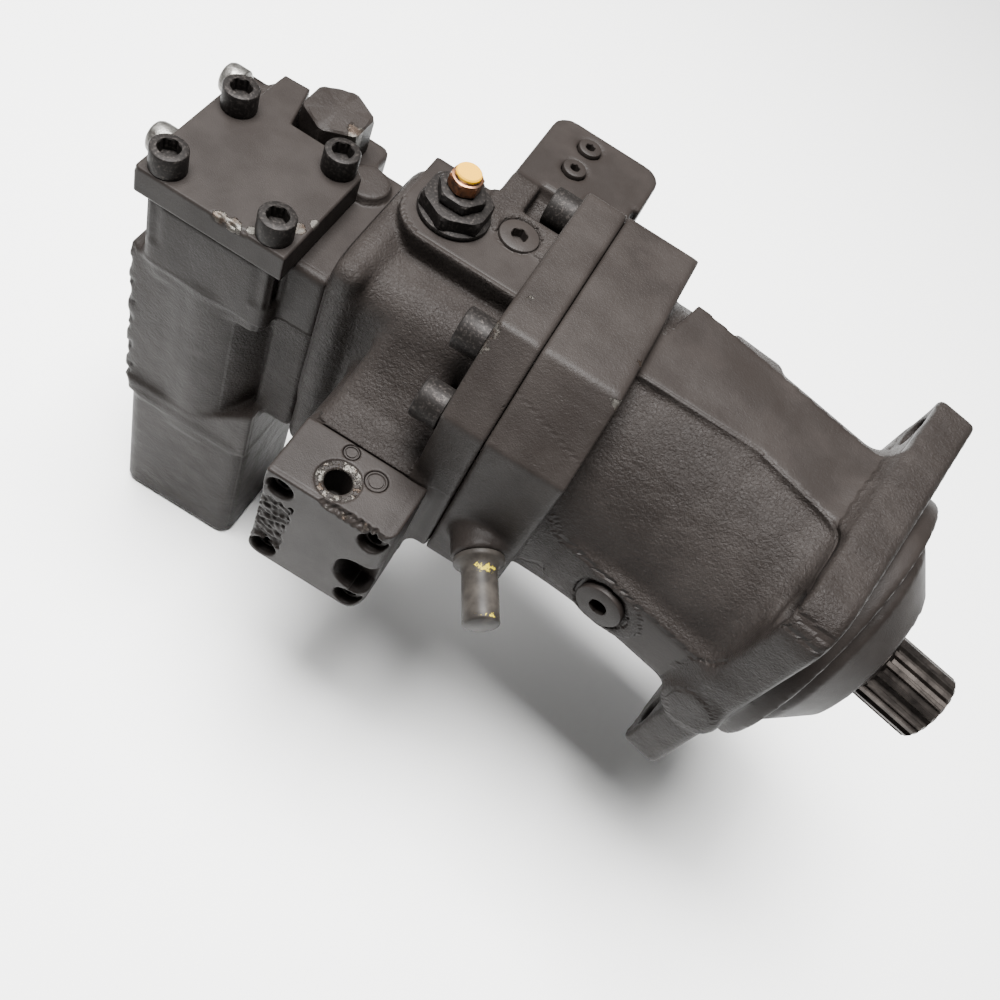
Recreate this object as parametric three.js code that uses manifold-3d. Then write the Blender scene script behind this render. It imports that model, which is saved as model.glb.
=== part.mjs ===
// Bent-axis variable-displacement axial piston unit with a bolted brake valve.
// Millimetres, +Z up. The origin is the centre of the mounting face on the shaft axis, and +X is the shaft.
// The port plate, the rotating group and the valve lie in a frame turned by BEND about the swivel axis.
import * as THREE from 'three';
import { mergeVertices } from 'three/addons/utils/BufferGeometryUtils.js';
import Module from 'manifold-3d';

const wasm = await Module();
wasm.setup();

// ---------- driving dimensions ----------
const GAP = 0.3; // between pieces that seat on each other
const OVERCUT = 2; // how far a cutter runs past a face

// axes
const BEND_X = -100; // bend point, where the shaft axis and the block axis cross
const BEND = THREE.MathUtils.degToRad(12); // port plate axis to shaft axis
const SWING = THREE.MathUtils.degToRad(13); // the block swings this far each way from the port plate axis

// rotating group
const PISTONS = 7;
const BALL_PITCH_R = 38;
const BALL_R = 9.5;
const SOCKET_CLEARANCE = 0.8; // radial, in the ball sockets
const CENTRE_BALL_R = 11;
const PISTON_R = 12.3;
const PISTON_ROD_R = 5;
const ROD_LENGTH = 30;
const PISTON_SHOULDER = 44;
const PISTON_LENGTH = 66;
const BORE_CLEARANCE = 0.45; // leaves room for the facets of the bore and the piston
const BLOCK_FRONT = 36; // from the bend point back to the front face
const BLOCK_LENGTH = 56;
const BLOCK_WALL = 3;
const BLOCK_SHOULDER = 14; // length of the rear taper
const BLOCK_REAR_R = 45;
const BORE_FLOOR = 8;
const BLOCK_PORT_R = 5;
const CENTRE_PIN_R = 6;
const SWEEP_CLEARANCE = 2.5; // between the block and its chamber
const LENS_THICKNESS = 11.4;
const LENS_HALF_WIDTH = 34;
const LENS_HALF_HEIGHT = 28;
const KIDNEY_HALF_WIDTH = 4;
const KIDNEY_HALF_ANGLE = THREE.MathUtils.degToRad(58);
const STROKING_PIN_R = 5.5;
const STROKING_PIN_PLAY = 4; // across the slot, for the pin's arc and turn

// shaft
const SPLINE_TEETH = 18;
const SPLINE_R = 19.7;
const SPLINE_ROOT_R = 17.6;
const SPLINE_START = 44;
const SHAFT_END = 81;
const SHAFT_CHAMFER = 1.5;
const SEAL_LAND_R = 21;
const FRONT_JOURNAL_R = 25;
const REAR_JOURNAL_R = 30;
const DRIVE_FLANGE_R = 53;
const DRIVE_FLANGE_THICK = 16;
const RETAINER_THICK = 5;

// bearings and seal
const FRONT_BEARING_X = -2;
const FRONT_BEARING_WIDTH = 20;
const FRONT_BEARING_R = 40;
const REAR_BEARING_X = -66;
const REAR_BEARING_WIDTH = 26;
const REAR_BEARING_R = 50;
const BEARING_TAPER = 3;
const SEAL_X = 23;
const SEAL_WIDTH = 10;
const SEAL_R = 31;

// main housing
const FLANGE_THICK = 23;
const FLANGE_HALF_Y = 86;
const FLANGE_HALF_Z = 89;
const FLANGE_CORNER_R = 8;
const FLANGE_NEAR_CORNER_R = 22; // the upper corner on the near side
const FLANGE_HOLE_CIRCLE_R = 100;
const FLANGE_HOLE_R = 8.75;
const SPOT_FACE_R = 16;
const PILOT_R = 80;
const PILOT_LENGTH = 12;
const NOSE_R = 62;
const NOSE_STEP_X = 20;
const NOSE_TIP_R = 43;
const NOSE_TIP_X = 38;
const BARREL_R = 80;
const BARREL_OVERLAP = 18; // the turned part of the barrel runs on past the bend point
const DRIVE_CHAMBER_R = 57;
const PLATEAU_TOP = 81;
const PLATEAU_Y = [-33, 28];
const SIDE_PAD_Y = -84;
const SIDE_PAD_Z = [-20, 16];
const SIDE_PAD_X = [-112, -20];
const SIDE_BOSS_R = 15;
const SIDE_BOSS_Z = -17;
const DRAIN_X = -81;
const DRAIN_Z = -4;
const DRAIN_THREAD_R = 8;
const DRAIN_HEAD_R = 13;
const DRAIN_HEAD_HEIGHT = 4;

// joint between housing and port plate, in the turned frame
const JOINT_A = -87;
const HOUSING_FLANGE_THICK = 41;
const PORT_FLANGE_THICK = 23;
const JOINT_TOP = 90;
const JOINT_HALF_TOP = 52;
const JOINT_HALF_WIDTH = 86.5;
const JOINT_SIDE_FOOT = -46;
const JOINT_FOOT = -82;
const FLANGE_SCREWS = [[-48, 70], [-74, 45], [52, 70], [74, -45], [-36, -73], [40, -73]];
const FLANGE_SCREW_R = 7;
const FLANGE_HEAD_R = 10.5;
const FLANGE_HEAD_HEIGHT = 14;
const FLANGE_SCREW_REACH = 26;

// port plate body
const PLATE_REAR = -190;
const NECK_HALF_WIDTH = 45;
const NECK_TOP = 56;
const NECK_FOOT = -60;
const NECK_BEVEL = 16;
const PAD_TOP = 68;
const PAD_FOOT = 30;
const PAD_W = [-13, 60];
const PAD_STEP = 18; // the pad narrows this much behind the far block
const PAD_REAR = PLATE_REAR + 6;
const PAD_CORNER_R = 21;
const FAR_BLOCK_A = [-149, -84]; // its tip reaches past the joint, beside the housing's flange
const FAR_BLOCK_W = [20, 124];
const FAR_BLOCK_FOOT = -22;
const FAR_BLOCK_CORNER_R = 11;
const NEAR_MOUNT_W = -88;
const NEAR_MOUNT_ROOT_W = -20;
const NEAR_MOUNT_RISE = [[-88, 4], [-72, 9], [-60, 20], [-46, 38]]; // its sloping top, as [w, z]
const VALVE_SEAT_THICK = 15;
const VALVE_SEAT_RISE = 4; // above the valve's cover
const POSITIONING_A = -121;
const POSITIONING_R = 14;
const POSITIONING_LENGTH = 62;
const RELIEF_AT = [-159.5, 12.5];
const GAUGE_AT = [-127.5, 24];
const RELIEF_THREAD_R = 12;
const RELIEF_REACH = 26;
const RELIEF_COLLAR_R = 18.5;
const RELIEF_COLLAR_HEIGHT = 2.5;
const RELIEF_HEX_AF = 32;
const RELIEF_HEX_HEIGHT = 8;
const LOCK_NUT_AF = 22;
const LOCK_NUT_HEIGHT = 6;
const CAP_NUT_AF = 15;
const CAP_NUT_HEIGHT = 10;
const CAP_BUTTON_R = 6.4;
const CAP_BUTTON_HEIGHT = 3;
const ADJUSTER_R = 5;
const GAUGE_THREAD_R = 9;
const GAUGE_HEAD_R = 10.5;
const GAUGE_HEAD_HEIGHT = 3;
const GAUGE_BORE_DEPTH = 20;
const BLOCK_PLUGS_AT = [[-124.8, 109], [-125, 88]];
const BLOCK_PLUG_R = 6.5;
const BLOCK_PLUG_REACH = 10;
const BLOCK_PLUG_RISE = 1.5;
const BLOCK_PLUG_KEY = 5;

// control block on the near side
const CONTROL_A = [-166, -99];
const CONTROL_DEPTH = 37;
const CONTROL_TOP = 4;
const CONTROL_FOOT = -76;
const CONTROL_CORNER_R = 7;
const CONTROL_SCREW_PITCH = [49.5, 60];
const CONTROL_SCREW_R = 4;
const CONTROL_HEAD_R = 6.5;
const CONTROL_HEAD_HEIGHT = 8;
const CONTROL_HEAD_SINK = 5;
const CONTROL_PORT_AT = [-136, -110.5];
const CONTROL_PORT_R = 6.9;
const CONTROL_PORT_DEPTH = 22;
const CONTROL_PORT_RING_R = 11.5;
const CONTROL_PLUGS_AT = [[-139, -93.5, 4], [-121.5, -100, 5.6]];
const CONTROL_POCKET_R = 12;
const CONTROL_POCKET_DEPTH = 14;
const CONTROL_END_WALL = 8;
const CONTROL_SPOOL_R = 7;
const CONTROL_SPOOL_TRAVEL = 4;

// brake valve, set back from the port plate's rear face
const VALVE_STANDOFF = 58;
const VALVE_CENTRE = [PLATE_REAR - VALVE_STANDOFF, -20];
const COVER_HALF = 40;
const COVER_TOP = 56;
const COVER_THICK = 16;
const COVER_TAB_W = 46;
const COVER_TAB_LENGTH = 15;
const COVER_SCREW_PITCH = 57;
const COVER_SCREW_R = 6;
const COVER_HEAD_R = 9;
const COVER_HEAD_HEIGHT = 12;
const UPPER_BLOCK_FOOT = -6;
const UPPER_BLOCK_INSET = 4;
const UPPER_BLOCK_FAR_W = 58;
const BARREL_VALVE_R = 37;
const BRIDGE_HALF_WIDTH = 26;
const LOWER_BLOCK_TOP = -116;
const LOWER_BLOCK_FOOT = -226;
const VALVE_FLANGE_THICK = 25;
const VALVE_FLANGE_W = [-58, 42];
const VALVE_FLANGE_CORNER_R = 8;
const VALVE_FLANGE_Z = [-88, 40];
const VALVE_PORT_Z = [-30, -88];
const VALVE_PORT_R = 15;
const VALVE_PORT_PAD_HALF = 30;
const VALVE_PORT_PAD_REACH = 44; // from the valve's axis back to its ports
const VALVE_SPOOL_R = 13;
const VALVE_SPOOL_FLOOR = 30; // up from the lower block's foot
const VALVE_LAND = 25;
const VALVE_SPOOL_TRAVEL = 8;
const REAR_SCREWS_AT = [[-14, 31], [48, 31]];
const REAR_SCREW_BOSS_R = 7.5;
const REAR_SCREW_REACH = 30;
const REAR_SCREW_STANDOFF = 48;
const HEX_PLUG_AT = [VALVE_CENTRE[0] + 10, 38];
const HEX_PLUG_AF = 32;
const HEX_PLUG_TOP = 62;

// stop screw cap on the housing's rear flange
const STOP_AT = [-60.5, -95, -15];
const STOP_TURN = THREE.MathUtils.degToRad(29);
const STOP_LENGTH = 35;
const STOP_R = 8.9;
const STOP_COLLAR_R = 14;
const STOP_COLLAR_HEIGHT = 4;

// ---------- derived sizes ----------
const MAX_TILT = BEND + SWING;
const BORE_PITCH_R = BALL_PITCH_R * (1 + Math.cos(MAX_TILT)) / 2;
const BORE_R = PISTON_R + BALL_PITCH_R * (1 - Math.cos(MAX_TILT)) / 2 + BORE_CLEARANCE;
const BLOCK_R = BORE_PITCH_R + BORE_R + BLOCK_WALL;
const BLOCK_REAR = BLOCK_FRONT + BLOCK_LENGTH;
const LENS_FRONT = BLOCK_REAR + GAP;
const SLIDEWAY_R = LENS_FRONT + LENS_THICKNESS + GAP;
const CHAMBER_R = BLOCK_R + SWEEP_CLEARANCE;
const PORT_FLANGE_A = JOINT_A - PORT_FLANGE_THICK;
const CONTROL_FACE_W = NEAR_MOUNT_W - GAP - CONTROL_DEPTH;
const CONTROL_MID_A = (CONTROL_A[0] + CONTROL_A[1]) / 2;
const CONTROL_MID_Z = (CONTROL_TOP + CONTROL_FOOT) / 2;
const CONTROL_MID_W = CONTROL_FACE_W + CONTROL_DEPTH / 2;
const COVER_FOOT = COVER_TOP - COVER_THICK;
const VALVE_TOP = COVER_FOOT - GAP;
const TURN = new THREE.Matrix4().makeTranslation(BEND_X, 0, 0)
  .multiply(new THREE.Matrix4().makeRotationZ(BEND));

// ---------- solids ----------
// A closed three.js geometry as a manifold solid. Zero-area triangles at poles are dropped.
function solid(geometry, matrix) {
  const bare = geometry.clone();
  bare.deleteAttribute('normal');
  bare.deleteAttribute('uv');
  if (matrix) bare.applyMatrix4(matrix);
  const merged = mergeVertices(bare, 1e-4);
  const index = merged.index.array;
  const triangles = [];
  for (let i = 0; i < index.length; i += 3) {
    const [a, b, c] = [index[i], index[i + 1], index[i + 2]];
    if (a !== b && b !== c && c !== a) triangles.push(a, b, c);
  }
  return new wasm.Manifold(new wasm.Mesh({
    numProp: 3,
    vertProperties: new Float32Array(merged.attributes.position.array),
    triVerts: new Uint32Array(triangles),
  }));
}

const union = (...solids) => solids.reduce((all, next) => all.add(next));
const minus = (body, cutters) => cutters.reduce((left, cutter) => left.subtract(cutter), body);

// Each axis matrix sends the extrusion direction to that axis and keeps right-handedness.
const ALONG = {
  x: new THREE.Matrix4().makeBasis(
    new THREE.Vector3(0, 1, 0), new THREE.Vector3(0, 0, 1), new THREE.Vector3(1, 0, 0)),
  y: new THREE.Matrix4().makeBasis(
    new THREE.Vector3(0, 0, 1), new THREE.Vector3(1, 0, 0), new THREE.Vector3(0, 1, 0)),
  z: new THREE.Matrix4(),
};

// An outline of [u, v] points, or a THREE.Shape, extruded from one level to another.
// The outline's plane is YZ for axis x, ZX for axis y and XY for axis z.
function prism(axis, outline, from, to, curveSegments = 8) {
  const shape = outline instanceof THREE.Shape ? outline
    : new THREE.Shape(outline.map(([u, v]) => new THREE.Vector2(u, v)));
  const low = Math.min(from, to);
  const geometry = new THREE.ExtrudeGeometry(shape, {
    depth: Math.max(from, to) - low, bevelEnabled: false, curveSegments });
  geometry.translate(0, 0, low);
  return solid(geometry, ALONG[axis]);
}

function block(xs, ys, zs) {
  const geometry = new THREE.BoxGeometry(xs[1] - xs[0], ys[1] - ys[0], zs[1] - zs[0]);
  geometry.translate((xs[0] + xs[1]) / 2, (ys[0] + ys[1]) / 2, (zs[0] + zs[1]) / 2);
  return solid(geometry);
}

// A round bar. [u, v] is its centre in the outline plane of its axis.
function rod(axis, r, from, to, [u, v] = [0, 0], segments = 16) {
  const low = Math.min(from, to);
  const high = Math.max(from, to);
  const geometry = new THREE.CylinderGeometry(r, r, high - low, segments);
  geometry.rotateX(Math.PI / 2);
  geometry.translate(u, v, (low + high) / 2);
  return solid(geometry, ALONG[axis]);
}

function hexBar(axis, acrossFlats, from, to, at = [0, 0]) {
  return rod(axis, acrossFlats / Math.sqrt(3), from, to, at, 6);
}

function ball(r, x, y, z, segments = 12) {
  const geometry = new THREE.SphereGeometry(r, segments, Math.round(segments * 0.6));
  geometry.translate(x, y, z);
  return solid(geometry);
}

// A turned piece about X from [x, r] points. It goes from low x to high x outside, then back inside.
function turned(points, segments = 24) {
  const profile = points.map(([x, r]) => new THREE.Vector2(r, x));
  const geometry = new THREE.LatheGeometry(profile, segments);
  geometry.rotateZ(-Math.PI / 2);
  return solid(geometry);
}

function ring(xs, inner, outer, segments = 28) {
  const [rearIn, frontIn] = [].concat(inner, inner);
  const [rearOut, frontOut] = [].concat(outer, outer);
  return turned([[xs[0], rearIn], [xs[0], rearOut], [xs[1], frontOut], [xs[1], frontIn],
    [xs[0], rearIn]], segments);
}

// A rectangle with rounded corners, as a shape in its own plane. The corner at low u and high v
// may have a radius of its own.
function roundedRectangle(us, vs, r, cornerR = r) {
  const shape = new THREE.Shape();
  shape.absarc(us[1] - r, vs[1] - r, r, 0, Math.PI / 2);
  shape.absarc(us[0] + cornerR, vs[1] - cornerR, cornerR, Math.PI / 2, Math.PI);
  shape.absarc(us[0] + r, vs[0] + r, r, Math.PI, Math.PI * 1.5);
  shape.absarc(us[1] - r, vs[0] + r, r, Math.PI * 1.5, Math.PI * 2);
  return shape;
}

// A socket head cap screw along an axis: the head lies on the side that `sign` points to.
function capScrew(axis, sign, seat, reach, at, shankR, headR, headHeight) {
  const head = rod(axis, headR, seat, seat + sign * headHeight, at);
  const shank = rod(axis, shankR, seat + sign, seat - sign * reach, at, 10);
  const socket = hexBar(axis, headR, seat + sign * headHeight * 0.45,
    seat + sign * (headHeight + OVERCUT), at);
  return head.add(shank).subtract(socket);
}

// A flush or raised hexagon-socket plug with a thread below its head.
function socketPlug(axis, sign, seat, at, headR, headHeight, threadR, threadLength) {
  const head = rod(axis, headR, seat, seat + sign * headHeight, at, 16);
  const thread = rod(axis, threadR, seat + sign, seat - sign * threadLength, at, 14);
  const socket = hexBar(axis, headR * 0.85, seat - sign * threadLength * 0.3,
    seat + sign * (headHeight + OVERCUT), at);
  return head.add(thread).subtract(socket);
}

const turnAbout = (body, angle) => body.transform(
  new THREE.Matrix4().makeRotationZ(angle).toArray());

// ---------- materials ----------
function material(color, roughness, metalness) {
  return new THREE.MeshStandardMaterial({ color, roughness, metalness });
}
const paint = material(0x5c5450, 0.5, 0.2);
const castPaint = material(0x4d4744, 0.65, 0.2);
const blackScrew = material(0x2e2a29, 0.4, 0.6);
const worn = material(0x8f8d86, 0.35, 0.9);
const brassNut = material(0xb07a4e, 0.35, 0.9);
const steel = material(0xa6a6a4, 0.3, 0.9);
const bronze = material(0xa67c3d, 0.35, 0.9);
const rubber = material(0x1b1b1b, 0.8, 0);

const pump = new THREE.Group();
const bent = new THREE.Group();
bent.position.x = BEND_X;
bent.rotation.z = BEND;
pump.add(bent);

function addPiece(group, name, body, finish) {
  const { vertProperties, triVerts } = body.getMesh();
  const geometry = new THREE.BufferGeometry();
  geometry.setAttribute('position', new THREE.BufferAttribute(new Float32Array(vertProperties), 3));
  geometry.setIndex(new THREE.BufferAttribute(new Uint32Array(triVerts), 1));
  geometry.computeVertexNormals();
  const mesh = new THREE.Mesh(geometry, finish);
  mesh.name = name;
  group.add(mesh);
  return mesh;
}

// ---------- chambers shared by the housing and the port plate, in the turned frame ----------
// The block's chamber is its cylinder at three swing angles, cut off by the round slideway.
function blockChamber() {
  const cylinders = [-1, 0, 1].map((step) => turnAbout(
    rod('x', CHAMBER_R, 0, -SLIDEWAY_R - OVERCUT, [0, 0], 24), step * SWING));
  const slideway = rod('z', SLIDEWAY_R, -CHAMBER_R - OVERCUT, CHAMBER_R + OVERCUT, [0, 0], 48);
  return union(...cylinders).intersect(slideway);
}

// Outline of the bolted joint, in the YZ plane of the turned frame.
function jointOutline() {
  const drop = JOINT_HALF_WIDTH - JOINT_HALF_TOP;
  return [
    [-JOINT_HALF_TOP, JOINT_TOP], [-JOINT_HALF_WIDTH, JOINT_TOP - drop],
    [-JOINT_HALF_WIDTH, JOINT_SIDE_FOOT], [-JOINT_HALF_TOP, JOINT_FOOT],
    [JOINT_HALF_TOP, JOINT_FOOT], [JOINT_HALF_WIDTH, JOINT_SIDE_FOOT],
    [JOINT_HALF_WIDTH, JOINT_TOP - drop], [JOINT_HALF_TOP, JOINT_TOP],
  ];
}

const flangeScrewHoles = (from, to) => FLANGE_SCREWS.map(
  (at) => rod('x', FLANGE_SCREW_R + 2 * GAP, from, to, at, 12));

// ---------- main housing ----------
function flangeHoleCentres() {
  const offset = FLANGE_HOLE_CIRCLE_R * Math.SQRT1_2;
  return [[1, 1], [-1, 1], [-1, -1], [1, -1]].map(([y, z]) => [y * offset, z * offset]);
}

function mainHousing() {
  const plate = prism('x', roundedRectangle([-FLANGE_HALF_Y, FLANGE_HALF_Y],
    [-FLANGE_HALF_Z, FLANGE_HALF_Z], FLANGE_CORNER_R, FLANGE_NEAR_CORNER_R), -FLANGE_THICK, 0, 5);
  const nose = turned([[-1, 0], [-1, PILOT_R], [PILOT_LENGTH, PILOT_R], [PILOT_LENGTH, NOSE_R],
    [NOSE_STEP_X, NOSE_R], [NOSE_TIP_X, NOSE_TIP_R], [NOSE_TIP_X, 0]], 36);
  const barrel = rod('x', BARREL_R, BEND_X, -FLANGE_THICK + 1, [0, 0], 36);
  const plateau = block([BEND_X - HOUSING_FLANGE_THICK, -FLANGE_THICK + 1], PLATEAU_Y, [0, PLATEAU_TOP]);
  const padChamfer = 6;
  const sidePad = prism('z', [[SIDE_PAD_X[0], 0], [SIDE_PAD_X[0], SIDE_PAD_Y + padChamfer],
    [SIDE_PAD_X[0] + padChamfer, SIDE_PAD_Y], [SIDE_PAD_X[1], SIDE_PAD_Y], [SIDE_PAD_X[1], 0]],
  SIDE_PAD_Z[0], SIDE_PAD_Z[1]);
  const sideBoss = rod('y', SIDE_BOSS_R, -PILOT_R + OVERCUT, -FLANGE_HALF_Y - 3,
    [SIDE_BOSS_Z, -SIDE_BOSS_R], 20);
  const turnedBarrel = rod('x', BARREL_R, JOINT_A + 1, BARREL_OVERLAP, [0, 0], 36);
  const rearFlange = prism('x', jointOutline(), JOINT_A, JOINT_A + HOUSING_FLANGE_THICK);
  const outside = union(plate, nose, barrel, plateau, sidePad, sideBoss,
    union(turnedBarrel, rearFlange, stopBoss()).transform(TURN.toArray()));
  const holes = flangeHoleCentres();
  const bearingBores = turned([
    [BEND_X - 12, 0], [BEND_X - 12, DRIVE_CHAMBER_R],
    [REAR_BEARING_X - 4, DRIVE_CHAMBER_R], [REAR_BEARING_X - 4, REAR_BEARING_R + GAP],
    [REAR_BEARING_X + REAR_BEARING_WIDTH, REAR_BEARING_R + GAP],
    [REAR_BEARING_X + REAR_BEARING_WIDTH, FRONT_BEARING_R - 5],
    [FRONT_BEARING_X, FRONT_BEARING_R - 5], [FRONT_BEARING_X, FRONT_BEARING_R + GAP],
    [FRONT_BEARING_X + FRONT_BEARING_WIDTH + GAP, FRONT_BEARING_R + GAP],
    [FRONT_BEARING_X + FRONT_BEARING_WIDTH + GAP, SEAL_R - 3],
    [SEAL_X - GAP, SEAL_R - 3], [SEAL_X - GAP, SEAL_R + GAP],
    [NOSE_TIP_X + OVERCUT, SEAL_R + GAP], [NOSE_TIP_X + OVERCUT, 0]], 28);
  const turnedCutters = union(blockChamber(), stopBore(),
    ...flangeScrewHoles(JOINT_A - OVERCUT, JOINT_A + FLANGE_SCREW_REACH + OVERCUT))
    .transform(TURN.toArray());
  return minus(outside, [
    bearingBores, turnedCutters,
    ...holes.map((at) => rod('x', FLANGE_HOLE_R, -FLANGE_THICK - OVERCUT, OVERCUT, at, 16)),
    ...holes.map((at) => rod('x', SPOT_FACE_R, -FLANGE_THICK - 20, -FLANGE_THICK + 1.5, at, 16)),
    rod('y', DRAIN_HEAD_R + 3, SIDE_PAD_Y - OVERCUT, SIDE_PAD_Y + 1, [DRAIN_Z, DRAIN_X], 18),
    rod('y', DRAIN_THREAD_R + GAP, SIDE_PAD_Y - OVERCUT, 0, [DRAIN_Z, DRAIN_X], 14),
  ]);
}

// ---------- stop screw cap: its own axis lies in the swivel plane ----------
const stopMatrix = new THREE.Matrix4().makeTranslation(...STOP_AT)
  .multiply(new THREE.Matrix4().makeRotationZ(STOP_TURN));

// Bars along the cap's outward axis, from the collar's seat, are bars along Y from 0 to -length.
const stopBar = (r, from, to, segments) => rod('y', r, -to, -from, [0, 0], segments)
  .transform(stopMatrix.toArray());

const stopBoss = () => stopBar(STOP_COLLAR_R + 1, -12, -GAP, 18);
const stopBore = () => stopBar(STOP_R - 3 + GAP, -60, 5, 12);

function stopScrewCap() {
  return union(stopBar(STOP_COLLAR_R, 0, STOP_COLLAR_HEIGHT, 18), stopBar(STOP_R, 0, STOP_LENGTH, 18),
    stopBar(STOP_R + 0.8, STOP_LENGTH - 6, STOP_LENGTH, 18), stopBar(STOP_R - 3, -22, 1, 12));
}

// ---------- port plate, in the turned frame ----------
function portPlate() {
  const flange = prism('x', jointOutline(), PORT_FLANGE_A, JOINT_A - GAP);
  const neck = prism('x', [
    [-NECK_HALF_WIDTH + NECK_BEVEL, NECK_TOP], [-NECK_HALF_WIDTH, NECK_TOP - NECK_BEVEL],
    [-NECK_HALF_WIDTH, NECK_FOOT + NECK_BEVEL], [-NECK_HALF_WIDTH + NECK_BEVEL, NECK_FOOT],
    [NECK_HALF_WIDTH - NECK_BEVEL, NECK_FOOT], [NECK_HALF_WIDTH, NECK_FOOT + NECK_BEVEL],
    [NECK_HALF_WIDTH, NECK_TOP - NECK_BEVEL], [NECK_HALF_WIDTH - NECK_BEVEL, NECK_TOP]].reverse(),
  PLATE_REAR + GAP, PORT_FLANGE_A + 1);
  const padShape = new THREE.Shape();
  padShape.moveTo(PORT_FLANGE_A + 1, PAD_W[0]);
  padShape.lineTo(PORT_FLANGE_A + 1, PAD_W[1]);
  padShape.lineTo(FAR_BLOCK_A[0], PAD_W[1]);
  padShape.lineTo(FAR_BLOCK_A[0], PAD_W[1] - PAD_STEP);
  padShape.lineTo(PAD_REAR, PAD_W[1] - PAD_STEP);
  padShape.absarc(PAD_REAR + PAD_CORNER_R, PAD_W[0] + PAD_CORNER_R, PAD_CORNER_R,
    Math.PI, Math.PI * 1.5);
  const pad = prism('z', padShape, PAD_FOOT, PAD_TOP, 6);
  const farBlock = prism('z', roundedRectangle(FAR_BLOCK_A, FAR_BLOCK_W, FAR_BLOCK_CORNER_R),
    FAR_BLOCK_FOOT, PAD_TOP, 5);
  const mountTop = NEAR_MOUNT_RISE[NEAR_MOUNT_RISE.length - 1][1];
  const mountShape = [[NEAR_MOUNT_W, CONTROL_FOOT], [NEAR_MOUNT_ROOT_W, CONTROL_FOOT],
    [NEAR_MOUNT_ROOT_W, mountTop], ...NEAR_MOUNT_RISE.slice().reverse()];
  const mountRear = Math.max(CONTROL_A[0], PLATE_REAR + GAP);
  const nearMount = prism('x', mountShape, mountRear, CONTROL_A[1]);
  const seatShape = roundedRectangle(VALVE_FLANGE_W, [VALVE_FLANGE_Z[0], COVER_TOP + VALVE_SEAT_RISE],
    VALVE_FLANGE_CORNER_R);
  const valveSeat = prism('x', seatShape, PLATE_REAR + GAP, PLATE_REAR + VALVE_SEAT_THICK, 3);
  const body = union(flange, neck, pad, farBlock, nearMount, valveSeat);
  const pinSlot = block([POSITIONING_A - STROKING_PIN_R - 3, -SLIDEWAY_R + 6],
    [-swingOffset(), swingOffset()], [-STROKING_PIN_R - 1, STROKING_PIN_R + 1]);
  const headRoom = FLANGE_HEAD_R + 1.5;
  return minus(body, [
    blockChamber(), pinSlot,
    block([JOINT_A - GAP, FAR_BLOCK_A[1] + OVERCUT], [0, JOINT_HALF_WIDTH + 1],
      [FAR_BLOCK_FOOT - OVERCUT, PAD_TOP + OVERCUT]),
    rod('y', POSITIONING_R + GAP, -POSITIONING_LENGTH, POSITIONING_LENGTH, [0, POSITIONING_A], 18),
    ...flangeScrewHoles(PORT_FLANGE_A - OVERCUT, JOINT_A + OVERCUT),
    ...FLANGE_SCREWS.map((at) => rod('x', headRoom, PORT_FLANGE_A - FLANGE_HEAD_HEIGHT - 3,
      PORT_FLANGE_A, at, 14)),
    rod('z', RELIEF_THREAD_R + GAP, PAD_TOP - RELIEF_REACH - OVERCUT, PAD_TOP + OVERCUT, RELIEF_AT, 14),
    rod('z', GAUGE_THREAD_R + GAP, PAD_TOP - GAUGE_BORE_DEPTH, PAD_TOP + OVERCUT, GAUGE_AT, 14),
    rod('z', GAUGE_HEAD_R + GAP, PAD_TOP - GAUGE_HEAD_HEIGHT - GAP, PAD_TOP + OVERCUT, GAUGE_AT, 18),
    ...BLOCK_PLUGS_AT.map((at) => rod('z', BLOCK_PLUG_R + GAP, PAD_TOP - BLOCK_PLUG_REACH - OVERCUT,
      PAD_TOP + OVERCUT, at, 20)),
    ...controlScrewCentres().map((at) => rod('y', CONTROL_SCREW_R + GAP,
      NEAR_MOUNT_W - OVERCUT, NEAR_MOUNT_W + 16, at, 14)),
  ]);
}

// Half width of the slot that the stroking pin sweeps.
function swingOffset() {
  return -POSITIONING_A * Math.sin(SWING) + STROKING_PIN_R + 2;
}

// ---------- fittings on the port plate ----------
function reliefValve() {
  const seat = PAD_TOP + GAP;
  const hexTop = seat + RELIEF_COLLAR_HEIGHT + RELIEF_HEX_HEIGHT;
  const nutTop = hexTop + GAP + LOCK_NUT_HEIGHT;
  const capTop = nutTop + GAP + CAP_NUT_HEIGHT;
  const cartridge = union(
    rod('z', RELIEF_THREAD_R, seat - RELIEF_REACH, seat + 1, RELIEF_AT, 14),
    rod('z', RELIEF_COLLAR_R, seat, seat + RELIEF_COLLAR_HEIGHT, RELIEF_AT, 20),
    hexBar('z', RELIEF_HEX_AF, seat + 1, hexTop, RELIEF_AT),
    rod('z', ADJUSTER_R, hexTop - 1, capTop - CAP_BUTTON_HEIGHT - 1, RELIEF_AT, 12));
  const bore = (top) => rod('z', ADJUSTER_R + GAP, hexTop - 1, top, RELIEF_AT, 12);
  const lockNut = hexBar('z', LOCK_NUT_AF, hexTop + GAP, nutTop, RELIEF_AT).subtract(bore(capTop));
  const capNut = hexBar('z', CAP_NUT_AF, nutTop + GAP, capTop - CAP_BUTTON_HEIGHT, RELIEF_AT)
    .add(rod('z', CAP_BUTTON_R, capTop - CAP_BUTTON_HEIGHT - 1, capTop, RELIEF_AT, 14))
    .subtract(bore(capTop - CAP_BUTTON_HEIGHT - 1 + GAP));
  addPiece(bent, 'relief_cartridge', cartridge, blackScrew);
  addPiece(bent, 'relief_lock_nut', lockNut, blackScrew);
  addPiece(bent, 'relief_cap_nut', capNut, brassNut);
}

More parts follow.
